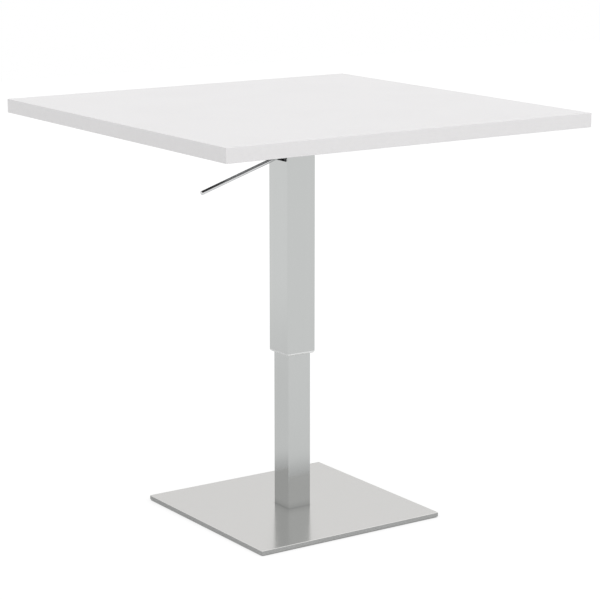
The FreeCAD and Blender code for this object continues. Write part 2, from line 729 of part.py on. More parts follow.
def draw_ear(sketch):
    """Upright outline with a round top about the pivot. It starts inside the head's block."""
    centre = VECTOR(value("-PivotReach"), value("PivotRise"), 0)
    radius, foot = value("EarRadius"), value("HeadHeight / 2")
    circle = Part.Circle(centre, VECTOR(0, 0, 1), radius)
    arc = sketch.addGeometry(Part.ArcOfCircle(circle, 0, math.pi), False)
    right, left = centre.x + radius, centre.x - radius
    left_side = sketch.addGeometry(Part.LineSegment(VECTOR(left, centre.y, 0), VECTOR(left, foot, 0)), False)
    base = sketch.addGeometry(Part.LineSegment(VECTOR(left, foot, 0), VECTOR(right, foot, 0)), False)
    right_side = sketch.addGeometry(Part.LineSegment(VECTOR(right, foot, 0),
                                                     VECTOR(right, centre.y, 0)), False)
    sketch.addConstraint([
        Sketcher.Constraint("Tangent", arc, 2, left_side, 1),
        Sketcher.Constraint("Coincident", left_side, 2, base, 1),
        Sketcher.Constraint("Coincident", base, 2, right_side, 1),
        Sketcher.Constraint("Tangent", right_side, 2, arc, 1),
        Sketcher.Constraint("Vertical", left_side),
        Sketcher.Constraint("Vertical", right_side),
    ])
    pin_point(sketch, arc, 3, "-PivotReach", "PivotRise")
    pin_radius(sketch, arc, "EarRadius")
    for line in (left_side, right_side):
        end = 2 if line == left_side else 1
        level = sketch.addConstraint(Sketcher.Constraint("DistanceY", -1, 1, line, end, foot))
        sketch.setExpression("Constraints[%d]" % level, formula("HeadHeight / 2"))


def release_head():
    """Head screwed on the spring's neck, with two ears that carry the lever's pivot."""
    body = new_body("release_head")
    block = new_sketch(body, "XZ_Plane")
    draw_rectangle(block, "-HeadFront", "HeadBack", "0", "HeadHeight")
    pad(body, block, "HeadWidth", symmetric=True)
    dress(body, "Chamfer", "HeadBevel", upright)
    ears = new_sketch(body, "XZ_Plane")
    draw_ear(ears)
    pad(body, ears, "2 * EarOutside", symmetric=True)
    gap = new_sketch(body, "YZ_Plane", "-PivotReach - 2 * EarRadius")
    draw_rectangle(gap, "-EarInside", "EarInside", "HeadHeight", "PivotRise + 2 * EarRadius")
    pocket(body, gap, "4 * EarRadius")
    pivot = new_sketch(body, "XZ_Plane")
    draw_circle(pivot, "PivotRadius + ShaftGap", "-PivotReach", "PivotRise")
    pocket(body, pivot, "HeadWidth", symmetric=True)
    neck = new_sketch(body, "XY_Plane")
    draw_circle(neck, "NeckRadius + ShaftGap")
    pocket(body, neck, "NeckReach")
    pin_hole = new_sketch(body, "XY_Plane")
    draw_circle(pin_hole, "HeadPinRadius")
    pocket(body, pin_hole, "HeadHeight")
    place(body, z="BridgeTop")
    return keep(body)


def along_y(thing):
    """Turns a sub-part drawn up Z so that it lies along -Y, on the pivot."""
    thing.Placement.Rotation = FreeCAD.Rotation(VECTOR(1, 0, 0), 90)
    place(thing, x="-PivotReach", z="PivotHeight")
    return thing


def pivot_pin():
    """Headed pin through both ears, with a groove for its clip."""
    groove_low = "EarOutside + ShaftGap"
    groove_high = "%s + ClipThickness" % groove_low
    groove = "PivotRadius - ClipGrooveDepth"
    pin = turned("pivot_pin", [
        ("0", "-EarOutside - PivotHeadHeight"),
        ("PivotHeadRadius", "-EarOutside - PivotHeadHeight"),
        ("PivotHeadRadius", "-EarOutside"),
        ("PivotRadius", "-EarOutside"),
        ("PivotRadius", groove_low),
        (groove, groove_low),
        (groove, groove_high),
        ("PivotRadius", groove_high),
        ("PivotRadius", "EarOutside + PivotTail"),
        ("0", "EarOutside + PivotTail"),
    ])
    keep(along_y(pin))
    clip = ring("pivot_clip", groove, "ClipRadius", groove_low, groove_high)
    mouth = new_sketch(clip, "XY_Plane", groove_low)
    draw_rectangle(mouth, "-(%s) / 2" % groove, "(%s) / 2" % groove, "0", "2 * ClipRadius")
    pocket(clip, mouth, "ClipThickness")
    keep(along_y(clip))


# ---------------------------------------------------------------- lever

def on_lever(along, across):
    """x and z texts of a place on the lever, from its pivot: along it outwards, and across it upwards."""
    x = "-(%s) * cos(LeverDroop) - (%s) * sin(LeverDroop)" % (along, across)
    z = "-(%s) * sin(LeverDroop) + (%s) * cos(LeverDroop)" % (along, across)
    return x, z


def lever_block():
    """Block on the pivot: a nose over the valve pin on one side, the rod's socket on the other."""
    body = new_body("lever_block")
    boss = new_sketch(body, "XZ_Plane")
    draw_circle(boss, "BossRadius")
    pad(body, boss, "BlockWidth", symmetric=True)
    nose = new_sketch(body, "XZ_Plane")
    draw_circle(nose, "NoseRadius", "PivotReach", "NoseHeight")
    pad(body, nose, "BlockWidth", symmetric=True)
    web = new_sketch(body, "XZ_Plane")
    draw_polygon(web, [
        ("0", "-BossRadius + NoseRadius / 2"),
        ("PivotReach", "NoseHeight - NoseRadius"),
        ("PivotReach", "NoseHeight + NoseRadius"),
        ("0", "BossRadius"),
    ])
    pad(body, web, "BlockWidth", symmetric=True)
    socket = new_sketch(body, "XZ_Plane")
    corners = [("0", "-BlockHalfHeight"), ("BlockReach", "-BlockHalfHeight"),
               ("BlockReach", "BlockHalfHeight"), ("0", "BlockHalfHeight")]
    draw_polygon(socket, [on_lever(along, across) for along, across in corners])
    pad(body, socket, "BlockWidth", symmetric=True)
    pivot = new_sketch(body, "XZ_Plane")
    draw_circle(pivot, "PivotRadius + ShaftGap")
    pocket(body, pivot, "BlockWidth", symmetric=True)
    bore = body.newObject("PartDesign::SubtractiveCylinder", "Bore")
    bind(bore, Radius="LeverSpigotRadius + ShaftGap", Height="2 * LeverSpigotLength")
    point_down_lever(bore, "SpigotStart", from_pivot=False)
    grub = body.newObject("PartDesign::SubtractiveCylinder", "GrubHole")
    bind(grub, Radius="GrubRadius + ShaftGap", Height="2 * BlockHalfHeight")
    point_across_lever(grub, from_pivot=False)
    document.recompute()
    place(body, x="-PivotReach", z="PivotHeight")
    return keep(body)


def point_down_lever(thing, start, from_pivot=True):
    """Lays a piece drawn up Z along the lever, outwards, from start."""
    x, z = on_lever(start, "0")
    if from_pivot:
        x, z = "-PivotReach + " + x, "PivotHeight + " + z
    thing.Placement.Rotation = FreeCAD.Rotation(VECTOR(0, -1, 0), value("90 + LeverDroop"))
    bind(thing, Placement__Rotation__Angle="90 + LeverDroop")
    place(thing, x=x, z=z)


def point_across_lever(thing, from_pivot=True):
    """Stands a piece drawn up Z across the lever, on the grub screw's place."""
    x, z = on_lever("GrubPlace", "LeverSpigotRadius + ShaftGap")
    if from_pivot:
        x, z = "-PivotReach + " + x, "PivotHeight + " + z
    thing.Placement.Rotation = FreeCAD.Rotation(VECTOR(0, -1, 0), value("LeverDroop"))
    bind(thing, Placement__Rotation__Angle="LeverDroop")
    place(thing, x=x, z=z)


def lever_rod():
    """Straight round rod, screwed into the block, with a bevelled end."""
    rod = turned("lever_rod", [
        ("0", "SpigotStart"),
        ("LeverSpigotRadius", "SpigotStart"),
        ("LeverSpigotRadius", "BlockReach"),
        ("LeverRadius", "BlockReach"),
        ("LeverRadius", "LeverReach"),
        ("0", "LeverReach"),
    ])
    dress(rod, "Chamfer", "LeverEndBevel", level_at("LeverReach"))
    point_down_lever(rod, "0")
    return keep(rod)


def lever_grub():
    """Grub screw that locks the rod's spigot in the block."""
    depth = "BlockHalfHeight - LeverSpigotRadius - ShaftGap"
    grub = turned("lever_grub_screw", [("0", "0"), ("GrubRadius", "0"), ("GrubRadius", depth), ("0", depth)])
    point_across_lever(grub)
    return keep(grub)


# ---------------------------------------------------------------- top

def screw_places():
    """Where the wood screws stand: the corners of a square and the middles of its sides."""
    half = "WoodScrewPitch / 2"
    middles = [("0", "-" + half), (half, "0"), ("0", half), ("-" + half, "0")]
    return corners_of(half) + middles


def top_plate():
    """Mounting plate welded on the outer tube."""
    body = new_body("top_plate")
    outline = new_sketch(body, "XY_Plane", "TubeTop")
    draw_square(outline, "TopPlateSide")
    pad(body, outline, "TopPlateThickness")
    dress(body, "Fillet", "TopPlateCorner", upright)
    holes = new_sketch(body, "XY_Plane", "TubeTop")
    for x, y in screw_places():
        draw_circle(holes, "WoodScrewRadius + HoleGap", x, y)
    pocket(body, holes, "TopPlateThickness")
    return keep(body)


def top_screws():
    """Button head socket screws, from under the mounting plate into the core."""
    under = "TubeTop - WoodScrewHeadHeight"
    screw = turned("top_screw", [
        ("0", under),
        ("WoodScrewHeadFlat", under),
        ("WoodScrewHeadRadius", "TubeTop - WoodScrewHeadRim"),
        ("WoodScrewHeadRadius", "TubeTop"),
        ("WoodScrewRadius", "TubeTop"),
        ("WoodScrewRadius", "TubeTop + WoodScrewLength"),
        ("0", "TubeTop + WoodScrewLength"),
    ])
    socket = new_sketch(screw, "XY_Plane", under)
    draw_hexagon(socket, "WoodScrewSocket")
    pocket(screw, socket, "WoodScrewSocketDepth")
    group("top_screws", screw, screw_places())


def drilled_board(label, bottom, thickness, depth):
    """A board of the top inside its edge bands, drilled for the wood screws from below."""
    body = new_body(label)
    outline = new_sketch(body, "XY_Plane", bottom)
    draw_square(outline, "CoreSide")
    pad(body, outline, thickness)
    holes = new_sketch(body, "XY_Plane", bottom)
    for x, y in screw_places():
        draw_circle(holes, "WoodScrewRadius + ShaftGap", x, y)
    pocket(body, holes, depth)
    return keep(body)


def boards():
    drilled_board("under_laminate", "TopUnderside", "LaminateThickness", "LaminateThickness")
    drilled_board("tabletop_core", "CoreBottom", "CoreThickness",
                  "TubeTop + WoodScrewLength + HoleGap - (CoreBottom)")
    face = new_body("top_laminate")
    outline = new_sketch(face, "XY_Plane", "CoreBottom + CoreThickness")
    draw_square(outline, "CoreSide")
    pad(face, outline, "LaminateThickness")
    keep(face)


def edge_bands():
    """Four bands round the top. Two run its whole side, and two fit between them."""
    half, inner = "TopSide / 2", "TopSide / 2 - BandThickness"
    runs = (
        ("edge_band_left", "-" + half, "-(%s)" % inner, "-" + half, half),
        ("edge_band_right", inner, half, "-" + half, half),
        ("edge_band_front", "-(%s)" % inner, inner, "-" + half, "-(%s)" % inner),
        ("edge_band_back", "-(%s)" % inner, inner, inner, half),
    )
    outside = value(half)
    for label, x_low, x_high, y_low, y_high in runs:
        band = new_body(label)
        outline = new_sketch(band, "XY_Plane", "TopUnderside")
        draw_rectangle(outline, x_low, x_high, y_low, y_high)
        pad(band, outline, "CoreThickness + 2 * LaminateThickness")
        dress(band, "Fillet", "BandRound", lambda edge: reaches(edge, outside) and not upright(edge))
        keep(band)


# ---------------------------------------------------------------- the table

def build():
    fill_sheet()
    base_plate()
    foot_pads()
    base_screws()
    foot_block()
    lower_tube()
    rod_fixing()
    upper_guide()
    piston_rod()
    piston()
    gas_cylinder()
    rod_guide()
    spring_neck()
    valve_pin()
    outer_tube()
    lower_guide()
    bridge_plate()
    release_head()
    pivot_pin()
    lever_block()
    lever_rod()
    lever_grub()
    top_plate()
    top_screws()
    boards()
    edge_bands()
    document.recompute()


def check():
    """Stops if a feature failed or a sub-part's shape is missing or broken."""
    for thing in document.Objects:
        if "Invalid" in thing.State or "Error" in thing.State:
            raise RuntimeError("%s failed: %s" % (thing.Label, thing.State))
    for node in nodes:
        if node.Shape.isNull() or not node.Shape.isValid() or not node.Shape.Solids:
            raise RuntimeError("%s has no sound shape" % node.Label)


def export():
    os.makedirs("parts", exist_ok=True)
    for node in nodes:
        node.Shape.exportStep(os.path.join("parts", node.Label + ".step"))
        print("%-18s %d solid(s) %10.1f mm3" % (node.Label, len(node.Shape.Solids), node.Shape.Volume))


build()
check()
export()
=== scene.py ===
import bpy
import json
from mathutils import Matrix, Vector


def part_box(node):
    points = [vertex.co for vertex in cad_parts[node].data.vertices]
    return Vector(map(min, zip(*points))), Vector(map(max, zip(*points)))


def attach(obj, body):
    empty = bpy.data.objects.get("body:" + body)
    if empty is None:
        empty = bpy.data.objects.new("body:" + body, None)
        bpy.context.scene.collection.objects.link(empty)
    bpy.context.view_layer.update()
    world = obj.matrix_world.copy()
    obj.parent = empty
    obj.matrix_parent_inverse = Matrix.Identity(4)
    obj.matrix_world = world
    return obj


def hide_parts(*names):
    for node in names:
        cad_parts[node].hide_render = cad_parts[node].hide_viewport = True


bl_info = {
    "name": "Pedestal table finishes",
    "version": (1, 0, 0),
    "blender": (4, 5, 0),
    "location": "View3D > Sidebar > Table",
    "description": "Finishes, small fastenings and a plain studio for a telescoping pedestal table",
    "category": "Object",
}

import json
import math

import bmesh
import bpy
from bpy.props import FloatProperty, FloatVectorProperty, IntProperty, PointerProperty
from mathutils import Matrix, Vector

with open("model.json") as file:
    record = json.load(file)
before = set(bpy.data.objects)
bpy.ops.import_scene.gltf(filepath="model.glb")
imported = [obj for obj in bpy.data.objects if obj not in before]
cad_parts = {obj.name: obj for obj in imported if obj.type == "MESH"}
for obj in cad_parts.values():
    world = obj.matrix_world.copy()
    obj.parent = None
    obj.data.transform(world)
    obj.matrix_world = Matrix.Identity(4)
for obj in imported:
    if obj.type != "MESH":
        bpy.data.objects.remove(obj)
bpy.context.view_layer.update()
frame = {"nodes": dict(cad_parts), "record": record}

MM = 0.001
TINY = 1e-6
SPARE = 1.0 * MM
FULL_TURN = 2 * math.pi
WHITE = (1.0, 1.0, 1.0, 1.0)

# Streaks among brush lines: their scale and their share in the tone
STREAK_SCALE, STREAK_SHARE = 0.05, 0.55
# Ends of a thread: how far its last ring and its point are drawn in
LAST_RING, SCREW_POINT = 0.95, 0.1
# Dome of a button head, as shares of its radius and of its rim's height
BUTTON_DOME = ((0.6, 0.0), (0.84, 0.35), (0.96, 0.72))
# A weld bead's thickness at its ends, and how fast it grows from there
BEAD_START, BEAD_GROWTH = 0.25, 6.0

# Ranges that a value is eased over: from and to, then the results there if they aren't 0 and 1
# FACING_DOWN and FACING_ASIDE place the rim's painted highlight; FACING_UP places the painted shade round
# the column's foot.
FACING_DOWN, FACING_ASIDE, FACING_UP = (-0.04, -0.22), (0.3, 0.6), (0.5, 0.9)
# BEVEL_BEGINS and BEVEL_ENDS place the plate's painted highlight.
CUT_SIDE, BEVEL_BEGINS, BEVEL_ENDS = (0.45, 0.15), (0.35, 0.6), (0.95, 0.8)
WIDE_SPECKS, SPECKS = (0.3, 0.7), (0.35, 0.65)
# Floor in metal along DIM_SIDE: painted shade nearer the base, then painted light farther out
FLOOR_SHADE_ASIDE, FLOOR_LIGHT_ASIDE = (0.4, 1.1, 1.0, 0.89), (1.1, 2.3, 0.0, 0.16)
# Sky in metal: painted shade towards DIM_SIDE, and a little towards the opposite side
SKY_AHEAD, SKY_BEHIND = (0.3, 1.0, 0.0, 0.16), (-0.3, -1.0, 0.0, 0.035)
UNDER_EDGE = (0.1, 0.6, 0.3, 1.0)

# Studio: the suns' spread and turns in degrees, and the side that metal shows darker
SUN_SPREAD, KEY_TURN, FILL_TURN = 55.0, 8.0, -80.0
DIM_SIDE = (-0.55, 0.83, 0.0)
# Floor in metal: painted shade round the base, how far it reaches in metres, and how much of the floor's
# light is left there
FLOOR_SHADE_REACH, FLOOR_SHADE_LEFT = 0.16, 0.52
# Floor: its darkest under the base, and its grey as light sees it
DEEPEST_SHADE, LIGHT_PAINT = 0.74, 0.8

SLOT_COLOURS = {entry["slot"]: entry["base_color"] for entry in frame["record"]["materials"]}


# ---- sizes and colours that a user may change

def length(name, description, millimetres):
    """A length property, in metres, from its default in millimetres."""
    return FloatProperty(name=name, description=description, default=millimetres * MM, min=0.0,
                         subtype="DISTANCE", unit="LENGTH", precision=5)


def angle(name, description, degrees):
    """An angle property, from its default in degrees."""
    return FloatProperty(name=name, description=description, default=math.radians(degrees),
                         subtype="ANGLE", unit="ROTATION")


def share(name, description, default):
    """A property between 0 and 1."""
    return FloatProperty(name=name, description=description, default=default, min=0.0, max=1.0,
                         subtype="FACTOR")


def tint(name, description, default):
    """A colour property. The default is a colour or the name of a material slot of the record."""
    colour = SLOT_COLOURS[default] if isinstance(default, str) else default
    return FloatVectorProperty(name=name, description=description, default=colour, size=3, min=0.0,
                               max=1.0, subtype="COLOR")


class TabletopSettings(bpy.types.PropertyGroup):
    laminate: tint("Laminate", "Upper face of the top", "white_laminate")
    band: tint("Edge band", "Bands round the top", "white_edge")
    # Its dark grey is painted shade: a dark sheet under the top, where there is only shade, for the lever's
    # chrome to reflect.
    backer: tint("Backing laminate", "Face under the top", "grey_backer")
    board: tint("Board", "Particle board core", "board")
    glue_line: length("Glue line", "Width of the joint between laminate and band", 0.15)
    texture_pitch: length("Texture", "Size of the laminate's fine pebbling", 0.6)
    roughness: share("Roughness", "Laminate and bands", 0.42)


class ColumnSettings(bpy.types.PropertyGroup):
    steel: tint("Steel", "Brushed tubes of the column", "brushed_steel")
    # A near-white colour for the round at the outer tube's lower end: a painted highlight, not the steel's
    # own colour.
    rim: tint("Rim", "Ground round at the outer tube's lower end", (0.97, 0.98, 0.975))
    roughness: share("Roughness", "Brushed tubes", 0.105)
    brush_pitch: length("Brush pitch", "Distance between brush lines", 0.25)
    # Painted shade: the tubes' colour is darkened over this height above the base plate, where the tube
    # meets it.
    foot_shade_height: length("Foot_shade", "Height of the dull line at the column's foot", 14.0)
    guide: tint("Guide", "Plastic guides between the tubes", "guide_plastic")


class BaseSettings(bpy.types.PropertyGroup):
    plate: tint("Plate", "Brushed upper face of the base plate", "brushed_plate")
    edge_tint: tint("Grazing tint", "Tint of the plate's steel at grazing angles", (0.82, 0.82, 0.82))
    cut_edge: tint("Cut edge", "Sides of the base plate", (0.43, 0.435, 0.43))
    roughness: share("Roughness", "Upper face of the base plate", 0.17)
    brush_pitch: length("Brush pitch", "Distance between brush lines", 0.3)
    # Painted shade: the plate's colour is darkened within this width round the column's foot.
    foot_shade_width: length("Foot_shade", "Width of the dull line round the column's foot", 5.0)
    block: tint("Foot block", "Machined block in the tube's foot", "bare_steel")


class PadSettings(bpy.types.PropertyGroup):
    plastic: tint("Plastic", "Foot pads", "pad_plastic")
    round_size: length("Round", "Round of a pad's lower edge", 0.6)
    groove_radius: length("Groove radius", "Middle of the ring groove in the pad's face", 9.5)
    groove_width: length("Groove width", "Ring groove in the pad's face", 1.6)
    groove_depth: length("Groove depth", "Ring groove in the pad's face", 0.6)


class WoodScrewSettings(bpy.types.PropertyGroup):
    zinc: tint("Zinc", "Plating of screws, nut, washer and pins", "zinc_steel")
    head_radius: length("Head radius", "Button head", 4.5)
    shank_radius: length("Shank radius", "Outside of the thread", 2.25)
    thread_depth: length("Thread depth", "Depth of the wood thread", 0.65)
    pitch: length("Pitch", "Pitch of the wood thread", 1.8)
    socket_flats: length("Socket", "Hexagon socket across its flats", 3.0)
    socket_roof: length("Socket roof", "Metal over the socket", 1.1)
    tip_length: length("Tip", "Pointed end", 4.0)


class BaseScrewSettings(bpy.types.PropertyGroup):
    head_radius: length("Head radius", "Countersunk head", 7.8)
    shank_radius: length("Shank radius", "Outside of the thread", 4.0)
    thread_depth: length("Thread depth", "Depth of the metric thread", 0.7)
    pitch: length("Pitch", "Pitch of the metric thread", 1.25)
    socket_flats: length("Socket", "Hexagon socket across its flats", 5.0)
    socket_depth: length("Socket depth", "Hexagon socket", 2.8)
    rim: length("Rim", "Straight rim of the head", 0.35)
    neck: length("Neck", "Plain neck under the head", 1.4)
    neck_taper: length("Taper", "Part of the neck that narrows", 0.6)


class RodNutSettings(bpy.types.PropertyGroup):
    flats: length("Flats", "Nut across its flats", 13.0)
    bore_radius: length("Bore radius", "Thread of the nut", 4.05)
    chamfer_width: length("Chamfer width", "Turned chamfer of the nut's corners", 1.44)
    chamfer_height: length("Chamfer height", "Turned chamfer of the nut's corners", 0.72)
    lead_in: length("Lead-in", "Chamfer at the thread's start", 0.5)
    washer_edge: length("Washer edge", "Rolled edge of the washer", 0.25)


class WeldSettings(bpy.types.PropertyGroup):
    steel: tint("Weld", "Bead between the outer tube and its plate", (0.20, 0.19, 0.18))
    straw: tint("Straw", "Warm heat colour of the bead", (0.16, 0.115, 0.07))
    blue: tint("Blue", "Cold heat colour of the bead", (0.10, 0.115, 0.15))
    gap: length("Gap", "From the bead's end to the tube's side", 1.5)
    leg: length("Leg", "Height and width of the bead", 3.2)
    wave: length("Wave", "Distance between the ripples of the bead", 2.4)
    ripple: share("Ripple", "Height of a ripple, as a share of the leg", 0.09)
    steps_in_wave: IntProperty(name="Steps", description="Sections in one ripple", default=5, min=3)


class SpringSettings(bpy.types.PropertyGroup):
    enamel: tint("Enamel", "Cylinder of the gas spring", "black_enamel")
    rod: tint("Rod", "Ground and chromed piston rod", "rod_chrome")
    rubber: tint("Rubber", "Seal and piston ring", "seal_rubber")


class ReleaseSettings(bpy.types.PropertyGroup):
    alloy: tint("Alloy", "Die cast release head", "cast_alloy")
    coat: tint("Coat", "Powder coat of the mounting plate", "coated_steel")


class LeverSettings(bpy.types.PropertyGroup):
    chrome: tint("Chrome", "Polished lever rod", (0.66, 0.665, 0.67))
    roughness: share("Roughness", "Polished lever rod", 0.05)


class StageSettings(bpy.types.PropertyGroup):
    camera_place: FloatVectorProperty(name="Camera", description="Place of the camera", size=3,
                                      default=(-2.2366, -3.3251, 1.3066), subtype="TRANSLATION",
                                      unit="LENGTH")
    camera_yaw: angle("Yaw", "Camera's direction, from +Y towards +X", 34.145)
    camera_pitch: angle("Pitch", "Camera's direction below the horizon", 12.431)
    lens: FloatProperty(name="Lens", description="Focal length on a 36 mm sensor", default=126.88,
                        subtype="DISTANCE_CAMERA")
    floor_size: length("Floor", "Side of the floor", 14000.0)
    sky: share("Sky", "Light from all round", 0.605)
    key: FloatProperty(name="Key", description="Sun in front of the -Y side", default=0.964, min=0.0)
    fill: FloatProperty(name="Fill", description="Sun in front of the -X side", default=0.389, min=0.0)
    height: angle("Height", "Angle of both suns from the zenith", 41.0)
    floor_glow: share("Floor glow", "White that the floor adds as the eye sees it", 0.90)
    floor_paint: share("Floor paint", "Shade of the floor's paint as the eye sees it", 0.17)
    metal_glow: share("Floor glow in metal", "White that the floor adds as metal shows it", 0.58)
    metal_paint: share("Floor paint in metal", "Shade of the floor's paint as metal shows it", 0.45)
    contact: length("Contact shadow", "Reach of the shadow close to what stands on the floor", 60.0)


# ---- shader building

def add(tree, kind, given=None, **settings):
    """Adds a shader node and sets it up. Sockets are given by name or number, as a value or a link."""
    made = tree.nodes.new("ShaderNode" + kind)
    for name, setting in settings.items():
        setattr(made, name, setting)
    for socket, value in (given or {}).items():
        if isinstance(value, bpy.types.NodeSocket):
            tree.links.new(value, made.inputs[socket])
        else:
            made.inputs[socket].default_value = value
    return made


def maths(tree, operation, first, second=0.0):
    """The output of a Math node."""
    return add(tree, "Math", {0: first, 1: second}, operation=operation).outputs[0]


def times(tree, first, second):
    return maths(tree, "MULTIPLY", first, second)


def plus(tree, first, second):
    return maths(tree, "ADD", first, second)


def dot(tree, first, second):
    """The dot product of two vectors."""
    return add(tree, "VectorMath", {0: first, 1: second}, operation="DOT_PRODUCT").outputs["Value"]


def point(tree):
    """The surface's point in the object's own axes."""
    return add(tree, "TexCoord").outputs["Object"]


def parts(tree, output):
    """The three parts of the surface's point (Object) or direction (Normal) in the object's own axes."""
    return add(tree, "SeparateXYZ", {0: add(tree, "TexCoord").outputs[output]}).outputs


def from_axis(tree):
    """How far the point lies from the Z axis, along X or Y, whichever is more."""
    place = parts(tree, "Object")
    return maths(tree, "MAXIMUM", maths(tree, "ABSOLUTE", place["X"]), maths(tree, "ABSOLUTE", place["Y"]))


def ramp(tree, value, low, high, to_low=0.0, to_high=1.0):
    """A value eased from one range to another, and held at its ends."""
    given = {"Value": value, "From Min": low, "From Max": high, "To Min": to_low, "To Max": to_high}
    return add(tree, "MapRange", given, interpolation_type="SMOOTHSTEP").outputs["Result"]


def mix(tree, factor, first, second):
    """A mix of two colours."""
    return add(tree, "Mix", {0: factor, 6: first, 7: second}, data_type="RGBA").outputs[2]


def noise(tree, vector, scale, detail=2.0, roughness=0.5):
    """The value of a noise texture."""
    given = {"Vector": vector, "Scale": scale, "Detail": detail, "Roughness": roughness}
    return add(tree, "TexNoise", given).outputs[0]


def shade(colour, factor=1.0):
    """A colour, brighter or darker, with alpha."""
    return tuple(min(1.0, channel * factor) for channel in colour) + (1.0,)


def vary(tree, mask, low, high):
    """A value between two, as a mask says."""
    return ramp(tree, mask, 0.0, 1.0, low, high)


def tones(tree, mask, colour, dark, light):
    """A darker and a lighter tone of a colour, mixed by a mask."""
    return mix(tree, mask, shade(colour, dark), shade(colour, light))


def new_effect(name, inputs, outputs):
    """An empty shader node group with named sockets, what comes into it, and its end node."""
    group = bpy.data.node_groups.new(name, "ShaderNodeTree")
    for label, kind, default in inputs:
        socket = group.interface.new_socket(name=label, in_out="INPUT", socket_type="NodeSocket" + kind)
        socket.default_value = default
    for label in outputs:
        group.interface.new_socket(name=label, in_out="OUTPUT", socket_type="NodeSocketFloat")
    return group, group.nodes.new("NodeGroupInput").outputs, group.nodes.new("NodeGroupOutput")


def effect(tree, name, build, **given):
    """The outputs of a shared node group, which is built at its first use."""
    group = bpy.data.node_groups.get(name) or build(name)
    return add(tree, "Group", given, node_tree=group).outputs


def build_brush_lines(name):
    """Lines drawn by a brush: fine scratches and broad streaks, stretched by Across."""
    inputs = [("Across", "Vector", (1.0, 1.0, 0.01)), ("Pitch", "Float", 0.25 * MM)]
    group, given, result = new_effect(name, inputs, ["Height", "Tone"])
    across = {0: point(group), 1: given["Across"]}
    stretched = add(group, "VectorMath", across, operation="MULTIPLY").outputs[0]
    scale = maths(group, "DIVIDE", 1.0, given["Pitch"])
    fine = noise(group, stretched, scale, roughness=0.6)
    broad = noise(group, stretched, times(group, scale, STREAK_SCALE), detail=3.0, roughness=0.55)
    tone = plus(group, times(group, fine, 1.0 - STREAK_SHARE), times(group, broad, STREAK_SHARE))
    connect(group, result, Height=fine, Tone=ramp(group, tone, *WIDE_SPECKS))
    return group


def build_smudges(name):
    """Wide soft patches, as handling and wiping leave them."""
    group, given, result = new_effect(name, [("Size", "Float", 0.08)], ["Mask"])
    scale = maths(group, "DIVIDE", 1.0, given["Size"])
    patches = noise(group, point(group), scale, detail=1.5)
    connect(group, result, Mask=ramp(group, patches, 0.4, 0.75))
    return group


def build_edge_wear(name):
    """A mask of outer and inner edges, broken up by noise."""
    group, given, result = new_effect(name, [("Radius", "Float", 0.6 * MM)], ["Mask"])
    sharp = add(group, "NewGeometry").outputs["Normal"]
    soft = add(group, "Bevel", {"Radius": given["Radius"]}, samples=4).outputs[0]
    edge = ramp(group, dot(group, sharp, soft), 0.995, 0.8)
    broken = ramp(group, noise(group, point(group), 900.0, detail=3.0), 0.3, 0.6)
    connect(group, result, Mask=times(group, edge, broken))
    return group


def build_grain(name):
    """Fine pebbling of a moulded, cast or coated surface."""
    group, given, result = new_effect(name, [("Size", "Float", 0.6 * MM)], ["Height", "Tone"])
    place = point(group)
    scale = maths(group, "DIVIDE", 1.0, given["Size"])
    cells = add(group, "TexVoronoi", {"Vector": place, "Scale": scale}, feature="SMOOTH_F1")
    pebbles = maths(group, "SUBTRACT", 1.0, cells.outputs["Distance"])
    wide = noise(group, place, times(group, scale, 0.08), detail=3.0)
    connect(group, result, Height=pebbles, Tone=ramp(group, wide, *WIDE_SPECKS))
    return group


def brush_lines(tree, across, pitch):
    return effect(tree, "Brush lines", build_brush_lines, Across=across, Pitch=pitch)


def smudges(tree, size):
    return effect(tree, "Smudges", build_smudges, Size=size)["Mask"]


def worn(tree, tone, radius, amount, bare):
    """A tone whose edges are worn to a bare colour."""
    edges = effect(tree, "Edge wear", build_edge_wear, Radius=radius)["Mask"]
    return mix(tree, times(tree, edges, amount), tone, bare)


def grain(tree, size):
    return effect(tree, "Grain", build_grain, Size=size)


def new_material(name, metallic=0.0):
    """A material with a Principled shader, its tree and the shader."""
    material = bpy.data.materials.new(name)
    material.use_nodes = True
    shader = material.node_tree.nodes["Principled BSDF"]
    shader.inputs["Metallic"].default_value = metallic
    return material, material.node_tree, shader


def bump(tree, height, strength, distance):
    """The normal of a Bump node."""
    given = {"Height": height, "Strength": strength, "Distance": distance}
    return add(tree, "Bump", given).outputs["Normal"]


def connect(tree, node, **sockets):
    """Links outputs to a node's sockets. An underscore stands for a space."""
    for name, output in sockets.items():
        tree.links.new(output, node.inputs[name.replace("_", " ")])


def path_of(tree):
    """What kind of ray meets the surface."""
    return add(tree, "LightPath").outputs


def seen_directly(tree):
    """1 for rays that come from the camera or through gloss or glass, and 0 for light's own."""
    path = path_of(tree)
    mirror = maths(tree, "MAXIMUM", path["Is Glossy Ray"], path["Is Transmission Ray"])
    return maths(tree, "MAXIMUM", path["Is Camera Ray"], mirror)


# ---- finishes

def brushed_steel(name, colour, roughness, across, pitch):
    """Metal with brush lines, and its tree, shader and colour, for more to be laid over it."""
    material, tree, shader = new_material(name, metallic=1.0)
    lines = brush_lines(tree, across, pitch)
    patches = smudges(tree, 0.09)
    tone = tones(tree, lines["Tone"], colour, 0.99, 1.01)
    gloss = plus(tree, vary(tree, lines["Tone"], roughness - 0.02, roughness + 0.02),
                 vary(tree, patches, -0.004, 0.01))
    connect(tree, shader, Base_Color=tone, Roughness=gloss,
            Normal=bump(tree, lines["Height"], 0.005, 0.02 * MM))
    return material, tree, shader, tone, gloss


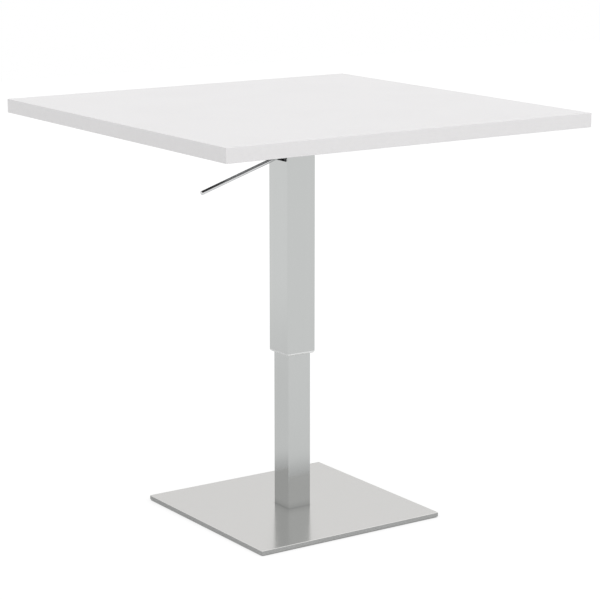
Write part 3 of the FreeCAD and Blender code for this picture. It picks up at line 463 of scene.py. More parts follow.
def tube_steel(settings):
    """Steel brushed along the tube, with a painted highlight on the rim's round, lighter on its Y sides
    than on its X sides, and painted shade at its foot.
    """
    across = (1.0, 1.0, 0.004)
    material, tree, shader, tone, gloss = brushed_steel(
        "Brushed tube", settings.steel, settings.roughness, across, settings.brush_pitch)
    facing = parts(tree, "Normal")
    # Painted highlight: the downward-facing round takes the light rim colour, and its X sides a darker copy
    # of it, as the light falls; the round is also made duller and less metallic.
    underneath = ramp(tree, facing["Z"], *FACING_DOWN)
    duller = times(tree, underneath, 0.25)
    aside = ramp(tree, maths(tree, "ABSOLUTE", facing["X"]), *FACING_ASIDE)
    rim = tones(tree, aside, settings.rim, 1.0, 0.78)
    # Painted shade at the foot: darker colour close above the base plate, where the lower tube meets it.
    floor_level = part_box("base_plate")[1].z
    painted_foot_shade = ramp(tree, parts(tree, "Object")["Z"], floor_level + settings.foot_shade_height, floor_level)
    bright = mix(tree, underneath, tone, rim)
    connect(tree, shader, Base_Color=mix(tree, painted_foot_shade, bright, shade(settings.steel, 0.86)),
            Metallic=maths(tree, "SUBTRACT", 1.0, duller), Roughness=plus(tree, gloss, duller))
    return material


def plate_steel(settings):
    """Steel brushed along X, duller on its cut sides, with painted shade round the column and a painted
    highlight on the bevel.
    """
    across = (0.004, 1.0, 1.0)
    material, tree, shader, tone, gloss = brushed_steel(
        "Brushed plate", settings.plate, settings.roughness, across, settings.brush_pitch)
    shader.inputs["Specular Tint"].default_value = shade(settings.edge_tint)
    upward = parts(tree, "Normal")["Z"]
    steep = maths(tree, "ABSOLUTE", upward)
    side = ramp(tree, steep, *CUT_SIDE)
    # Painted highlight: the bevel between the top and the cut sides takes a lighter copy of the plate's
    # colour.
    bevel = times(tree, ramp(tree, steep, *BEVEL_BEGINS), ramp(tree, steep, *BEVEL_ENDS))
    sawn = ramp(tree, noise(tree, point(tree), 1400.0), *SPECKS)
    edge_tone = tones(tree, sawn, settings.cut_edge, 0.93, 1.07)
    colour = mix(tree, bevel, mix(tree, side, tone, edge_tone), shade(settings.plate, 1.2))
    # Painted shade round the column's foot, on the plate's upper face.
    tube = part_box("lower_tube")[1].x
    near_tube = ramp(tree, from_axis(tree), tube + settings.foot_shade_width, tube)
    painted_foot_shade = times(tree, near_tube, ramp(tree, upward, *FACING_UP))
    connect(tree, shader, Base_Color=mix(tree, painted_foot_shade, colour, shade(settings.plate, 0.84)),
            Roughness=plus(tree, gloss, times(tree, side, 0.14)),
            Metallic=maths(tree, "SUBTRACT", 1.0, times(tree, side, 0.85)))
    return material


def laminate(name, colour, settings, joint=None):
    """Satin laminate with fine pebbling. A joint half width gives the glue line at the bands."""
    material, tree, shader = new_material(name)
    shader.inputs["Specular IOR Level"].default_value = 0.35
    pebbles = grain(tree, settings.texture_pitch)
    tone = tones(tree, pebbles["Tone"], colour, 0.994, 1.006)
    if joint:
        line = ramp(tree, from_axis(tree), joint - settings.glue_line, joint)
        tone = mix(tree, line, tone, shade(colour, 0.72))
    connect(tree, shader, Base_Color=tone,
            Roughness=vary(tree, smudges(tree, 0.12), settings.roughness - 0.02, settings.roughness + 0.04),
            Normal=bump(tree, pebbles["Height"], 0.05, 0.02 * MM))
    return material


def particle_board(colour):
    """Pressed wood chips."""
    material, tree, shader = new_material("Particle board")
    place = point(tree)
    chips = add(tree, "TexVoronoi", {"Vector": place, "Scale": 420.0})
    fibres = noise(tree, place, 1500.0, detail=3.0)
    light = mix(tree, chips.outputs["Color"], shade(colour, 0.75), shade(colour, 1.2))
    connect(tree, shader, Base_Color=mix(tree, ramp(tree, fibres, *SPECKS), shade(colour, 0.8), light),
            Roughness=ramp(tree, fibres, *WIDE_SPECKS, 0.75, 0.9),
            Normal=bump(tree, chips.outputs["Distance"], 0.4, 0.2 * MM))
    return material


def plain_metal(name, colour, roughness, lathe_pitch, wear=0.0):
    """Turned or plated metal with fine tool marks across its axis and brighter edges."""
    material, tree, shader = new_material(name, metallic=1.0)
    lines = brush_lines(tree, (0.05, 0.05, 1.0), lathe_pitch)
    tone = tones(tree, lines["Tone"], colour, 0.93, 1.05)
    if wear:
        tone = worn(tree, tone, 0.3 * MM, wear, shade(colour, 1.3))
    connect(tree, shader, Base_Color=tone,
            Roughness=vary(tree, smudges(tree, 0.02), roughness, roughness + 0.08),
            Normal=bump(tree, lines["Height"], 0.08, 0.02 * MM))
    return material


def polished_chrome(name, colour, roughness):
    """Mirror chrome with faint wiping marks."""
    material, tree, shader = new_material(name, metallic=1.0)
    patches = smudges(tree, 0.015)
    connect(tree, shader, Base_Color=tones(tree, patches, colour, 1.02, 0.97),
            Roughness=vary(tree, patches, roughness, roughness + 0.05))
    return material


def coated(name, colour, roughness, pebble, coat_weight=0.0, wear_colour=None):
    """Paint, powder coat or enamel, with orange peel and worn edges."""
    material, tree, shader = new_material(name)
    shader.inputs["Coat Weight"].default_value = coat_weight
    shader.inputs["Coat Roughness"].default_value = 0.12
    pebbles = grain(tree, pebble)
    tone = tones(tree, pebbles["Tone"], colour, 0.85, 1.15)
    if wear_colour:
        tone = worn(tree, tone, 0.5 * MM, 0.4, wear_colour)
    connect(tree, shader, Base_Color=tone,
            Roughness=vary(tree, pebbles["Tone"], roughness - 0.04, roughness + 0.06),
            Normal=bump(tree, pebbles["Height"], 0.25, 0.05 * MM))
    return material


def soft_plastic(name, colour, roughness, pebble):
    """Moulded plastic or rubber with a fine spark texture."""
    material, tree, shader = new_material(name)
    pebbles = grain(tree, pebble)
    patches = smudges(tree, 0.03)
    connect(tree, shader, Base_Color=tones(tree, patches, colour, 1.0, 1.35),
            Roughness=vary(tree, patches, roughness, roughness + 0.12),
            Normal=bump(tree, pebbles["Height"], 0.2, 0.04 * MM))
    return material


def weld_steel(settings):
    """Weld bead with heat colours between its ripples."""
    material, tree, shader = new_material("Weld bead", metallic=0.85)
    place = point(tree)
    heat = ramp(tree, noise(tree, place, 260.0, detail=3.0), *WIDE_SPECKS)
    warm = mix(tree, 0.5, shade(settings.steel), shade(settings.straw))
    cold = mix(tree, 0.4, shade(settings.steel), shade(settings.blue))
    pores = noise(tree, place, 2200.0, detail=3.0)
    connect(tree, shader, Base_Color=mix(tree, heat, warm, cold),
            Roughness=ramp(tree, pores, *WIDE_SPECKS, 0.38, 0.6),
            Normal=bump(tree, pores, 0.3, 0.05 * MM))
    return material


def cast_alloy(colour):
    """Die cast alloy: metal with a fine cast skin."""
    material, tree, shader = new_material("Cast alloy", metallic=1.0)
    pebbles = grain(tree, 0.8 * MM)
    tone = tones(tree, pebbles["Tone"], colour, 0.9, 1.08)
    connect(tree, shader, Base_Color=worn(tree, tone, 0.5 * MM, 0.5, shade(colour, 1.4)),
            Roughness=vary(tree, pebbles["Tone"], 0.42, 0.55),
            Normal=bump(tree, pebbles["Height"], 0.3, 0.08 * MM))
    return material


def zinc_plate():
    """The zinc plating that all small fastenings share."""
    found = bpy.data.materials.get("Zinc plate")
    colour = bpy.context.scene.pedestal_wood_screws.zinc
    return found or plain_metal("Zinc plate", colour, roughness=0.27, lathe_pitch=0.3 * MM, wear=0.4)


def finish_nodes(material, *names):
    """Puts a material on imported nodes."""
    for name in names:
        for slot in frame["nodes"][name].material_slots:
            slot.material = material


# ---- modelling by hand

def newly_added(name):
    """The piece that was just added, with its name and with its place applied."""
    piece = bpy.context.object
    piece.name = piece.data.name = name
    bpy.ops.object.transform_apply(location=True, rotation=True, scale=True)
    return piece


def draw_chain(name, points):
    """A chain of edges, drawn by extruding its end from point to point. It leaves edit mode on."""
    bpy.ops.object.select_all(action="DESELECT")
    bpy.ops.mesh.primitive_plane_add(location=points[0])
    piece = newly_added(name)
    bpy.ops.object.mode_set(mode="EDIT")
    bpy.ops.mesh.select_mode(type="VERT")
    bpy.ops.mesh.select_all(action="SELECT")
    bpy.ops.mesh.merge(type="CENTER")
    for start, end in zip(points, points[1:]):
        step = Vector(end) - Vector(start)
        bpy.ops.mesh.extrude_region_move(TRANSFORM_OT_translate={"value": step})
    return piece


def tidy_mesh():
    """Merges doubles and turns the faces outwards. Edit mode stays on."""
    bpy.ops.mesh.select_all(action="SELECT")
    bpy.ops.mesh.remove_doubles(threshold=TINY)
    bpy.ops.mesh.normals_make_consistent(inside=False)
    if bmesh.from_edit_mesh(bpy.context.object.data).calc_volume(signed=True) < 0.0:
        bpy.ops.mesh.flip_normals()


def smooth(piece, degrees=35.0):
    """Leaves edit mode and shades the piece smooth, with sharp edges past the angle."""
    if bpy.context.mode != "OBJECT":
        bpy.ops.object.mode_set(mode="OBJECT")
    pick(piece)
    bpy.ops.object.shade_smooth_by_angle(angle=math.radians(degrees))
    return piece


def pick(*pieces):
    """Selects these pieces alone. The first is the active one."""
    bpy.ops.object.select_all(action="DESELECT")
    for piece in pieces:
        piece.select_set(True)
    bpy.context.view_layer.objects.active = pieces[0]


def turned(name, outline, sides):
    """A piece turned about Z from its half outline, radius and height pairs, closed on the axis."""
    piece = draw_chain(name, [(radius, 0.0, height) for radius, height in outline])
    bpy.ops.mesh.select_all(action="SELECT")
    bpy.ops.mesh.spin(steps=sides, angle=FULL_TURN, center=(0.0, 0.0, 0.0), axis=(0.0, 0.0, 1.0))
    tidy_mesh()
    return smooth(piece)


def rounded(centre, radius, start, end, steps):
    """Points of an arc in the half outline, from one angle in degrees to another."""
    turns = [math.radians(start + (end - start) * step / steps) for step in range(steps + 1)]
    return [(centre[0] + radius * math.cos(turn), centre[1] + radius * math.sin(turn)) for turn in turns]


def combine(piece, other, operation):
    """Cuts another piece out of a piece, or keeps what both share, and deletes the other."""
    pick(piece)
    bpy.ops.object.modifier_add(type="BOOLEAN")
    modifier = piece.modifiers[-1]
    modifier.operation = operation
    modifier.solver = "EXACT"
    modifier.object = other
    bpy.ops.object.modifier_apply(modifier=modifier.name)
    bpy.data.objects.remove(other, do_unlink=True)
    return piece


def hexagon(name, flats, low, high):
    """A hexagonal bar on the Z axis, two flats facing X."""
    bpy.ops.object.select_all(action="DESELECT")
    bpy.ops.mesh.primitive_cylinder_add(vertices=6, radius=flats / 2 / math.cos(math.pi / 6),
                                        depth=high - low, location=(0.0, 0.0, (low + high) / 2))
    return newly_added(name)


def select_open_edges(above, level):
    """Selects the open edges that lie above or below a level. Edit mode is on."""
    bpy.ops.mesh.select_mode(type="EDGE")
    bpy.ops.mesh.select_all(action="DESELECT")
    mesh = bmesh.from_edit_mesh(bpy.context.object.data)
    for edge in mesh.edges:
        middle = (edge.verts[0].co.z + edge.verts[1].co.z) / 2
        if edge.is_boundary and (middle > level) == above:
            edge.select = True
    mesh.select_flush(True)
    bmesh.update_edit_mesh(bpy.context.object.data)


def draw_in(level, share_of_radius):
    """Extrudes the selected ring to a level and resizes it about the Z axis."""
    bpy.ops.mesh.extrude_region_move()
    bpy.ops.transform.resize(value=(share_of_radius, share_of_radius, 0.0),
                             center_override=(0.0, 0.0, level))


def threaded(settings, low, high, tip, sides):
    """A screw's threaded shank, closed at both ends, with a pointed upper end where tip isn't 0."""
    radius, pitch = settings.shank_radius, settings.pitch
    root = radius - settings.thread_depth
    turns = int((high - tip - low) / pitch) - 1
    points = [(root, 0.0, low)]
    for turn in range(turns):
        points.append((radius, 0.0, low + pitch * (turn + 0.5)))
        points.append((root, 0.0, low + pitch * (turn + 1)))
    bar = draw_chain("shank", points)
    bpy.ops.object.mode_set(mode="OBJECT")
    bpy.ops.object.modifier_add(type="SCREW")
    modifier = bar.modifiers[-1]
    modifier.axis = "Z"
    modifier.screw_offset = pitch
    modifier.steps = modifier.render_steps = sides
    modifier.use_smooth_shade = False
    bpy.ops.object.modifier_apply(modifier=modifier.name)
    bpy.ops.object.mode_set(mode="EDIT")
    tidy_mesh()
    middle = (low + high) / 2
    select_open_edges(above=False, level=middle)
    draw_in(low, LAST_RING)
    bpy.ops.mesh.edge_face_add()
    select_open_edges(above=True, level=middle)
    draw_in(high - tip, LAST_RING)
    if tip:
        tidy_mesh()
        select_open_edges(above=True, level=middle)
        draw_in(high, SCREW_POINT)
    bpy.ops.mesh.edge_face_add()
    tidy_mesh()
    return smooth(bar)


def join(first, *others):
    """Joins pieces into the first."""
    pick(first, *others)
    bpy.ops.object.join()
    return first


def socket_screw(name, settings, outline, socket_end, high, head_sides, shank_sides, tip=0.0):
    """A screw with a hexagon socket. Its outline runs from the head's face to the thread's start."""
    low, neck_end = outline[0][1], outline[-1][1]
    screw = turned(name, outline, head_sides)
    socket = hexagon("socket", settings.socket_flats, low - SPARE, socket_end)
    combine(screw, socket, "DIFFERENCE")
    return smooth(join(screw, threaded(settings, neck_end, high, tip, shank_sides)))


def shifts(places):
    """The moves from the Z axis to each x, y place."""
    return [Matrix.Translation((x, y, 0.0)) for x, y in places]


def copies(piece, moves):
    """The piece moved by each matrix, each copy with its own mesh. The piece itself takes the first."""
    made = [piece]
    for _ in moves[1:]:
        copy = piece.copy()
        copy.data = piece.data.copy()
        bpy.context.scene.collection.objects.link(copy)
        made.append(copy)
    for number, (copy, move) in enumerate(zip(made, moves), start=1):
        copy.data.transform(move)
        copy.name = "%s_%d" % (piece.data.name, number)
    return made


def seat(pieces, material, body, slot, *nodes):
    """Gives new pieces their material and body, and hides the nodes that they stand for."""
    for piece in pieces:
        if not piece.data.polygons:
            raise RuntimeError("%s has no faces" % piece.name)
        piece.data.materials.clear()
        piece.data.materials.append(material)
        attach(piece, body)
        if nodes:
            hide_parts(*nodes)


def square_corners(half):
    """The corners of a square about the Z axis, one after another."""
    return [(-half, -half), (half, -half), (half, half), (-half, half)]


# ---- operators

def group_name(operator):
    """The scene's property that holds an operator's settings."""
    return operator.bl_idname.replace(".", "_")


class PEDESTAL_OT_tabletop(bpy.types.Operator):
    """Finish the board, its laminates and its bands"""
    bl_idname = "pedestal.tabletop"
    bl_label = "Tabletop"

    def execute(self, context):
        settings = context.scene.pedestal_tabletop
        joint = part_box("top_laminate")[1].x
        finish_nodes(laminate("White laminate", settings.laminate, settings, joint), "top_laminate")
        finish_nodes(laminate("White band", settings.band, settings), "edge_band_left", "edge_band_right",
                     "edge_band_front", "edge_band_back")
        # The backer's dark grey is painted shade under the top.
        finish_nodes(laminate("Grey backer", settings.backer, settings, joint), "under_laminate")
        finish_nodes(particle_board(settings.board), "tabletop_core")
        return {"FINISHED"}


class PEDESTAL_OT_column(bpy.types.Operator):
    """Finish the two tubes and the guides between them"""
    bl_idname = "pedestal.column"
    bl_label = "Column"

    def execute(self, context):
        settings = context.scene.pedestal_column
        finish_nodes(tube_steel(settings), "outer_tube", "lower_tube")
        plastic = soft_plastic("Guide plastic", settings.guide, roughness=0.45, pebble=0.5 * MM)
        finish_nodes(plastic, "upper_guide", "lower_guide")
        return {"FINISHED"}


class PEDESTAL_OT_base(bpy.types.Operator):
    """Finish the base plate and the block in the tube's foot"""
    bl_idname = "pedestal.base"
    bl_label = "Base"

    def execute(self, context):
        settings = context.scene.pedestal_base
        finish_nodes(plate_steel(settings), "base_plate")
        machined = plain_metal("Machined steel", settings.block, roughness=0.34, lathe_pitch=0.2 * MM,
                               wear=0.3)
        finish_nodes(machined, "foot_block", "bridge_plate", "piston", "rod_guide", "spring_neck",
                     "valve_pin")
        return {"FINISHED"}


class PEDESTAL_OT_foot_pads(bpy.types.Operator):
    """Model the four foot pads, with a rounded edge and a ring groove"""
    bl_idname = "pedestal.foot_pads"
    bl_label = "Foot pads"

    def execute(self, context):
        settings = context.scene.pedestal_foot_pads
        low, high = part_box("foot_pad_1")
        radius, thickness = (high.x - low.x) / 2, high.z - low.z
        edge = settings.round_size
        inner = settings.groove_radius - settings.groove_width / 2
        outer = settings.groove_radius + settings.groove_width / 2
        slope = settings.groove_depth / 3
        outline = [(0.0, 0.0), (inner, 0.0), (inner + slope, settings.groove_depth),
                   (outer - slope, settings.groove_depth), (outer, 0.0)]
        outline += rounded((radius - edge, edge), edge, start=-90.0, end=0.0, steps=6)
        outline += [(radius, thickness), (0.0, thickness)]
        pad = turned("moulded_pad", outline, sides=72)
        plastic = soft_plastic("Pad plastic", settings.plastic, roughness=0.5, pebble=0.4 * MM)
        for number, piece in enumerate(copies(pad, shifts(self.places())), start=1):
            seat([piece], plastic, "pedestal", "pad_plastic", "foot_pad_%d" % number)
        return {"FINISHED"}

    def places(self):
        """The middle of each pad, in the nodes' order."""
        boxes = [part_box("foot_pad_%d" % number) for number in range(1, 5)]
        return [((low.x + high.x) / 2, (low.y + high.y) / 2) for low, high in boxes]


class PEDESTAL_OT_wood_screws(bpy.types.Operator):
    """Model the button head screws between the mounting plate and the board"""
    bl_idname = "pedestal.wood_screws"
    bl_label = "Wood screws"

    def execute(self, context):
        settings = context.scene.pedestal_wood_screws
        low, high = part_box("top_screws")
        seat_level, neck_end = (corner.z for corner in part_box("top_plate"))
        head = settings.head_radius
        rim = seat_level - (seat_level - low.z) / 3
        root = settings.shank_radius - settings.thread_depth
        outline = [(0.0, low.z)]
        outline += [(head * out, low.z + (rim - low.z) * up) for out, up in BUTTON_DOME]
        outline += [(head, rim), (head, seat_level), (root, seat_level), (root, neck_end), (0.0, neck_end)]
        screw = socket_screw("wood_screw", settings, outline, seat_level - settings.socket_roof, high.z,
                             head_sides=36, shank_sides=24, tip=settings.tip_length)
        half = high.x - head
        places = square_corners(half) + [(0.0, -half), (half, 0.0), (0.0, half), (-half, 0.0)]
        seat(copies(screw, shifts(places)), zinc_plate(), "table_head", "zinc_steel", "top_screws")
        return {"FINISHED"}


class PEDESTAL_OT_base_screws(bpy.types.Operator):
    """Model the countersunk screws between the base plate and the foot block"""
    bl_idname = "pedestal.base_screws"
    bl_label = "Base screws"

    def execute(self, context):
        settings = context.scene.pedestal_base_screws
        low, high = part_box("base_screws")
        root = settings.shank_radius - settings.thread_depth
        head = settings.head_radius
        rim = settings.rim
        neck = low.z + head - settings.shank_radius
        neck_end = neck + settings.neck
        outline = [(0.0, low.z), (head - rim, low.z), (head - rim / 3, low.z + rim / 3),
                   (head - rim, low.z + rim), (settings.shank_radius, neck),
                   (root, neck + settings.neck_taper), (root, neck_end), (0.0, neck_end)]
        screw = socket_screw("base_screw", settings, outline, low.z + settings.socket_depth, high.z,
                             head_sides=48, shank_sides=36)
        places = square_corners(high.x - head)
        seat(copies(screw, shifts(places)), zinc_plate(), "pedestal", "zinc_steel", "base_screws")
        return {"FINISHED"}


class PEDESTAL_OT_rod_nut(bpy.types.Operator):
    """Model the nut and washer of the piston rod's stud"""
    bl_idname = "pedestal.rod_nut"
    bl_label = "Rod nut"

    def execute(self, context):
        settings = context.scene.pedestal_rod_nut
        self.nut(settings)
        self.washer(settings)
        return {"FINISHED"}

    def nut(self, settings):
        low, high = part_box("rod_nut")
        corner = settings.flats / 2 / math.cos(math.pi / 6)
        face, rise = corner - settings.chamfer_width, settings.chamfer_height
        turned_form = turned("nut_form", [
            (0.0, low.z), (face, low.z), (corner + TINY, low.z + rise),
            (corner + TINY, high.z - rise), (face, high.z), (0.0, high.z)], sides=72)
        nut = hexagon("thin_nut", settings.flats, low.z, high.z)
        combine(nut, turned_form, "INTERSECT")
        radius, lead_in = settings.bore_radius, settings.lead_in
        bore = turned("bore", [
            (0.0, low.z - SPARE), (radius + lead_in + SPARE, low.z - SPARE), (radius, low.z + lead_in),
            (radius, high.z + SPARE), (0.0, high.z + SPARE)], sides=48)
        smooth(combine(nut, bore, "DIFFERENCE"), degrees=25.0)
        seat([nut], zinc_plate(), "pedestal", "zinc_steel", "rod_nut")

    def washer(self, settings):
        low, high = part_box("rod_washer")
        radius, bore, edge = high.x, settings.bore_radius, settings.washer_edge
        outline = [(bore, low.z), (radius - edge, low.z)]
        outline += rounded((radius - edge, low.z + edge), edge, start=-90.0, end=0.0, steps=3)
        outline += [(radius, high.z), (bore, high.z), (bore, low.z)]
        washer = turned("plain_washer", outline, sides=64)
        seat([washer], zinc_plate(), "pedestal", "zinc_steel", "rod_washer")


class PEDESTAL_OT_weld_beads(bpy.types.Operator):
    """Model the weld beads between the outer tube and its mounting plate"""
    bl_idname = "pedestal.weld_beads"
    bl_label = "Weld beads"

    def execute(self, context):
        settings = context.scene.pedestal_weld_beads
        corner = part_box("outer_tube")[1]
        bead = self.bead(settings, corner.x, corner.z)
        turns = [Matrix.Rotation(quarter * math.pi / 2, 4, "Z") for quarter in range(4)]
        seat(copies(bead, turns), weld_steel(settings), "table_head", "bare_steel")
        return {"FINISHED"}

    def bead(self, settings, half, level):
        """One bead along the tube's -Y side. Its section is swept along X and swells at each ripple."""
        run = half - settings.gap
        count = int(2 * run / settings.wave) * settings.steps_in_wave
        step = 2 * run / count
        leg = settings.leg * self.swell(settings, 0, count)
        arc = rounded((0.0, 0.0), leg, start=0.0, end=90.0, steps=6)
        section = [(-run, -half - y, level - z) for y, z in arc]
        corner = (-run, -half, level)
        bead = draw_chain("weld_bead", [corner] + section + [corner])
        bpy.ops.mesh.select_all(action="SELECT")
        bpy.ops.mesh.remove_doubles(threshold=TINY)
        bpy.ops.mesh.select_all(action="SELECT")
        bpy.ops.mesh.edge_face_add()
        for station in range(count):
            now, then = (self.swell(settings, station + extra, count) for extra in (0, 1))
            bpy.ops.mesh.extrude_region_move(TRANSFORM_OT_translate={"value": (step, 0.0, 0.0)})
            bpy.ops.transform.resize(value=(1.0, then / now, then / now),
                                     center_override=(-run + (station + 1) * step, -half, level))
        tidy_mesh()
        return smooth(bead, degrees=60.0)

    def swell(self, settings, station, count):
        """Share of the leg at a station: thin at both ends, with a ripple in each wave."""
        ending = min(1.0, BEAD_START + BEAD_GROWTH * min(station, count - station) / count)
        wave = abs(math.sin(math.pi * station / settings.steps_in_wave))
        return ending * (1.0 - settings.ripple + settings.ripple * wave)


class PEDESTAL_OT_gas_spring(bpy.types.Operator):
    """Finish the gas spring's cylinder, rod and seals"""
    bl_idname = "pedestal.gas_spring"
    bl_label = "Gas spring"

    def execute(self, context):
        settings = context.scene.pedestal_gas_spring
        enamel = coated("Black enamel", settings.enamel, roughness=0.3, pebble=0.9 * MM, coat_weight=0.4)
        finish_nodes(enamel, "gas_cylinder")
        finish_nodes(polished_chrome("Rod chrome", settings.rod, roughness=0.1), "piston_rod")
        rubber = soft_plastic("Seal rubber", settings.rubber, roughness=0.55, pebble=0.3 * MM)
        finish_nodes(rubber, "rod_seal", "piston_ring")
        return {"FINISHED"}


class PEDESTAL_OT_release(bpy.types.Operator):
    """Finish the mounting plate, the release head and its pivot"""
    bl_idname = "pedestal.release"
    bl_label = "Release head"

    def execute(self, context):
        settings = context.scene.pedestal_release
        coat = coated("Powder coat", settings.coat, roughness=0.48, pebble=0.7 * MM,
                      wear_colour=shade(settings.coat, 1.3))
        finish_nodes(coat, "top_plate")
        finish_nodes(cast_alloy(settings.alloy), "release_head")
        finish_nodes(zinc_plate(), "pivot_pin", "pivot_clip")
        return {"FINISHED"}


class PEDESTAL_OT_lever(bpy.types.Operator):
    """Finish the release lever, its block and its grub screw"""
    bl_idname = "pedestal.lever"
    bl_label = "Lever"

    def execute(self, context):
        settings = context.scene.pedestal_lever
        finish_nodes(polished_chrome("Lever chrome", settings.chrome, settings.roughness), "lever_rod")
        finish_nodes(zinc_plate(), "lever_block", "lever_grub_screw")
        return {"FINISHED"}


class PEDESTAL_OT_stage(bpy.types.Operator):
    """Build the floor, the studio light and the camera"""
    bl_idname = "pedestal.stage"
    bl_label = "Stage"

    def execute(self, context):
        settings = context.scene.pedestal_stage
        context.scene.view_settings.view_transform = "Standard"
        self.floor(settings)
        self.sky(settings)
        self.sun("key_sun", settings.key, settings.height, KEY_TURN)
        self.sun("fill_sun", settings.fill, settings.height, FILL_TURN)
        self.camera(settings)
        return {"FINISHED"}

    def floor(self, settings):
        """White floor that keeps a faint shadow. From below it is clear."""
        bpy.ops.object.select_all(action="DESELECT")
        bpy.ops.mesh.primitive_plane_add(size=settings.floor_size, location=(0.0, 0.0, 0.0))
        floor = bpy.context.object
        floor.name = "studio_floor"
        material = bpy.data.materials.new("Studio floor")
        material.use_nodes = True
        tree = material.node_tree
        tree.nodes.clear()
        path = path_of(tree)
        looked_at = maths(tree, "MAXIMUM", path["Is Camera Ray"], path["Is Transmission Ray"])
        in_metal = path["Is Glossy Ray"]
        open_share = add(tree, "AmbientOcclusion", {"Distance": settings.contact}, samples=16).outputs["AO"]
        soft = add(tree, "MapRange", {"Value": open_share, "To Min": DEEPEST_SHADE}).outputs["Result"]
        contact = times(tree, soft, ramp(tree, open_share, *UNDER_EDGE))
        to_eye = times(tree, looked_at, times(tree, contact, settings.floor_glow))
        # The floor's glow in metal carries painted shade round the base and painted light to one side.
        to_metal = times(tree, in_metal, times(tree, self.painted_floor_in_metal(tree), settings.metal_glow))
        glow = add(tree, "Emission", {"Color": WHITE, "Strength": plus(tree, to_eye, to_metal)})
        paint = mix(tree, looked_at, shade((LIGHT_PAINT,) * 3), shade((settings.floor_paint,) * 3))
        paint = mix(tree, in_metal, paint, shade((settings.metal_paint,) * 3))
        matt = add(tree, "BsdfDiffuse", {"Color": paint})
        lit = add(tree, "AddShader", {0: glow.outputs[0], 1: matt.outputs[0]})
        clear = add(tree, "BsdfTransparent")
        below = add(tree, "NewGeometry").outputs["Backfacing"]
        both = add(tree, "MixShader", {0: below, 1: lit.outputs[0], 2: clear.outputs[0]})
        add(tree, "OutputMaterial", {"Surface": both.outputs[0]})
        floor.data.materials.append(material)

    def painted_floor_in_metal(self, tree):
        """What metal shows of the floor: painted shade close to the base and some way to one side, and
        painted light far to that side.
        """
        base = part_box("base_plate")[1].x
        close = ramp(tree, from_axis(tree), base, base + FLOOR_SHADE_REACH, FLOOR_SHADE_LEFT, 1.0)
        aside = dot(tree, point(tree), DIM_SIDE)
        sides = plus(tree, ramp(tree, aside, *FLOOR_SHADE_ASIDE), ramp(tree, aside, *FLOOR_LIGHT_ASIDE))
        return times(tree, close, sides)

    def sky(self, settings):
        """White all round as the eye sees it, with painted shade in metal towards one side, and dimmer as a
        light.
        """
        world = bpy.data.worlds.new("Studio")
        bpy.context.scene.world = world
        world.use_nodes = True
        tree = world.node_tree
        tree.nodes.clear()
        seen = seen_directly(tree)
        # Painted shade: the sky is dimmed in metal by direction.
        direction = add(tree, "TexCoord").outputs["Generated"]
        aside = dot(tree, direction, DIM_SIDE)
        darker = plus(tree, ramp(tree, aside, *SKY_AHEAD), ramp(tree, aside, *SKY_BEHIND))
        dimmed = times(tree, path_of(tree)["Is Glossy Ray"], darker)
        white = maths(tree, "SUBTRACT", 1.0, dimmed)
        unseen = maths(tree, "SUBTRACT", 1.0, seen)
        strength = plus(tree, times(tree, seen, white), times(tree, unseen, settings.sky))
        glow = add(tree, "Background", {"Color": WHITE, "Strength": strength})
        add(tree, "OutputWorld", {"Surface": glow.outputs[0]})

    def sun(self, name, strength, height, degrees):
        """A wide soft sun, at an angle from the zenith and turned about Z. Metal shows the sky instead."""
        bpy.ops.object.light_add(type="SUN", rotation=(height, 0.0, math.radians(degrees)))
        lamp = bpy.context.object
        lamp.name = name
        lamp.data.energy = strength
        lamp.data.angle = math.radians(SUN_SPREAD)
        lamp.visible_glossy = False

    def camera(self, settings):
        tilt = (math.pi / 2 - settings.camera_pitch, 0.0, -settings.camera_yaw)
        bpy.ops.object.camera_add(location=settings.camera_place, rotation=tilt)
        camera = bpy.context.object
        camera.name = "studio_camera"
        camera.data.lens = settings.lens
        camera.data.clip_end = 50.0
        bpy.context.scene.camera = camera


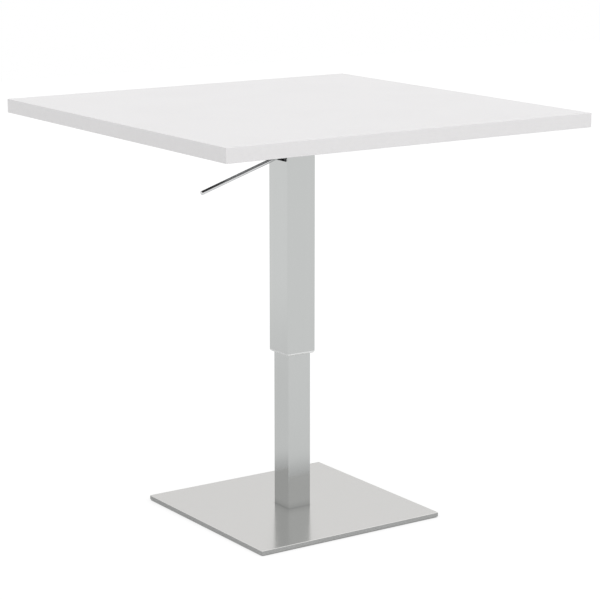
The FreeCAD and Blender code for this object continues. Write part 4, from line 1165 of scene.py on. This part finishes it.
# ---- sidebar and registration

PIECES = [
    (PEDESTAL_OT_tabletop, TabletopSettings),
    (PEDESTAL_OT_column, ColumnSettings),
    (PEDESTAL_OT_base, BaseSettings),
    (PEDESTAL_OT_foot_pads, PadSettings),
    (PEDESTAL_OT_wood_screws, WoodScrewSettings),
    (PEDESTAL_OT_base_screws, BaseScrewSettings),
    (PEDESTAL_OT_rod_nut, RodNutSettings),
    (PEDESTAL_OT_weld_beads, WeldSettings),
    (PEDESTAL_OT_gas_spring, SpringSettings),
    (PEDESTAL_OT_release, ReleaseSettings),
    (PEDESTAL_OT_lever, LeverSettings),
    (PEDESTAL_OT_stage, StageSettings),
]


class PEDESTAL_PT_sidebar(bpy.types.Panel):
    """Lists each operator with its sizes and colours"""
    bl_label = "Pedestal table"
    bl_space_type = "VIEW_3D"
    bl_region_type = "UI"
    bl_category = "Table"

    def draw(self, context):
        for operator, _ in PIECES:
            box = self.layout.box()
            box.operator(operator.bl_idname)
            settings = getattr(context.scene, group_name(operator))
            for name in settings.__annotations__:
                box.prop(settings, name)


def register():
    for operator, group in PIECES:
        bpy.utils.register_class(group)
        setattr(bpy.types.Scene, group_name(operator), PointerProperty(type=group))
        bpy.utils.register_class(operator)
    bpy.utils.register_class(PEDESTAL_PT_sidebar)


def unregister():
    bpy.utils.unregister_class(PEDESTAL_PT_sidebar)
    for operator, group in reversed(PIECES):
        bpy.utils.unregister_class(operator)
        delattr(bpy.types.Scene, group_name(operator))
        bpy.utils.unregister_class(group)


def main():
    register()
    bpy.ops.pedestal.tabletop()
    bpy.ops.pedestal.column()
    bpy.ops.pedestal.base()
    bpy.ops.pedestal.foot_pads()
    bpy.ops.pedestal.wood_screws()
    bpy.ops.pedestal.base_screws()
    bpy.ops.pedestal.rod_nut()
    bpy.ops.pedestal.weld_beads()
    bpy.ops.pedestal.gas_spring()
    bpy.ops.pedestal.release()
    bpy.ops.pedestal.lever()
    bpy.ops.pedestal.stage()


if __name__ == "__main__":
    main()
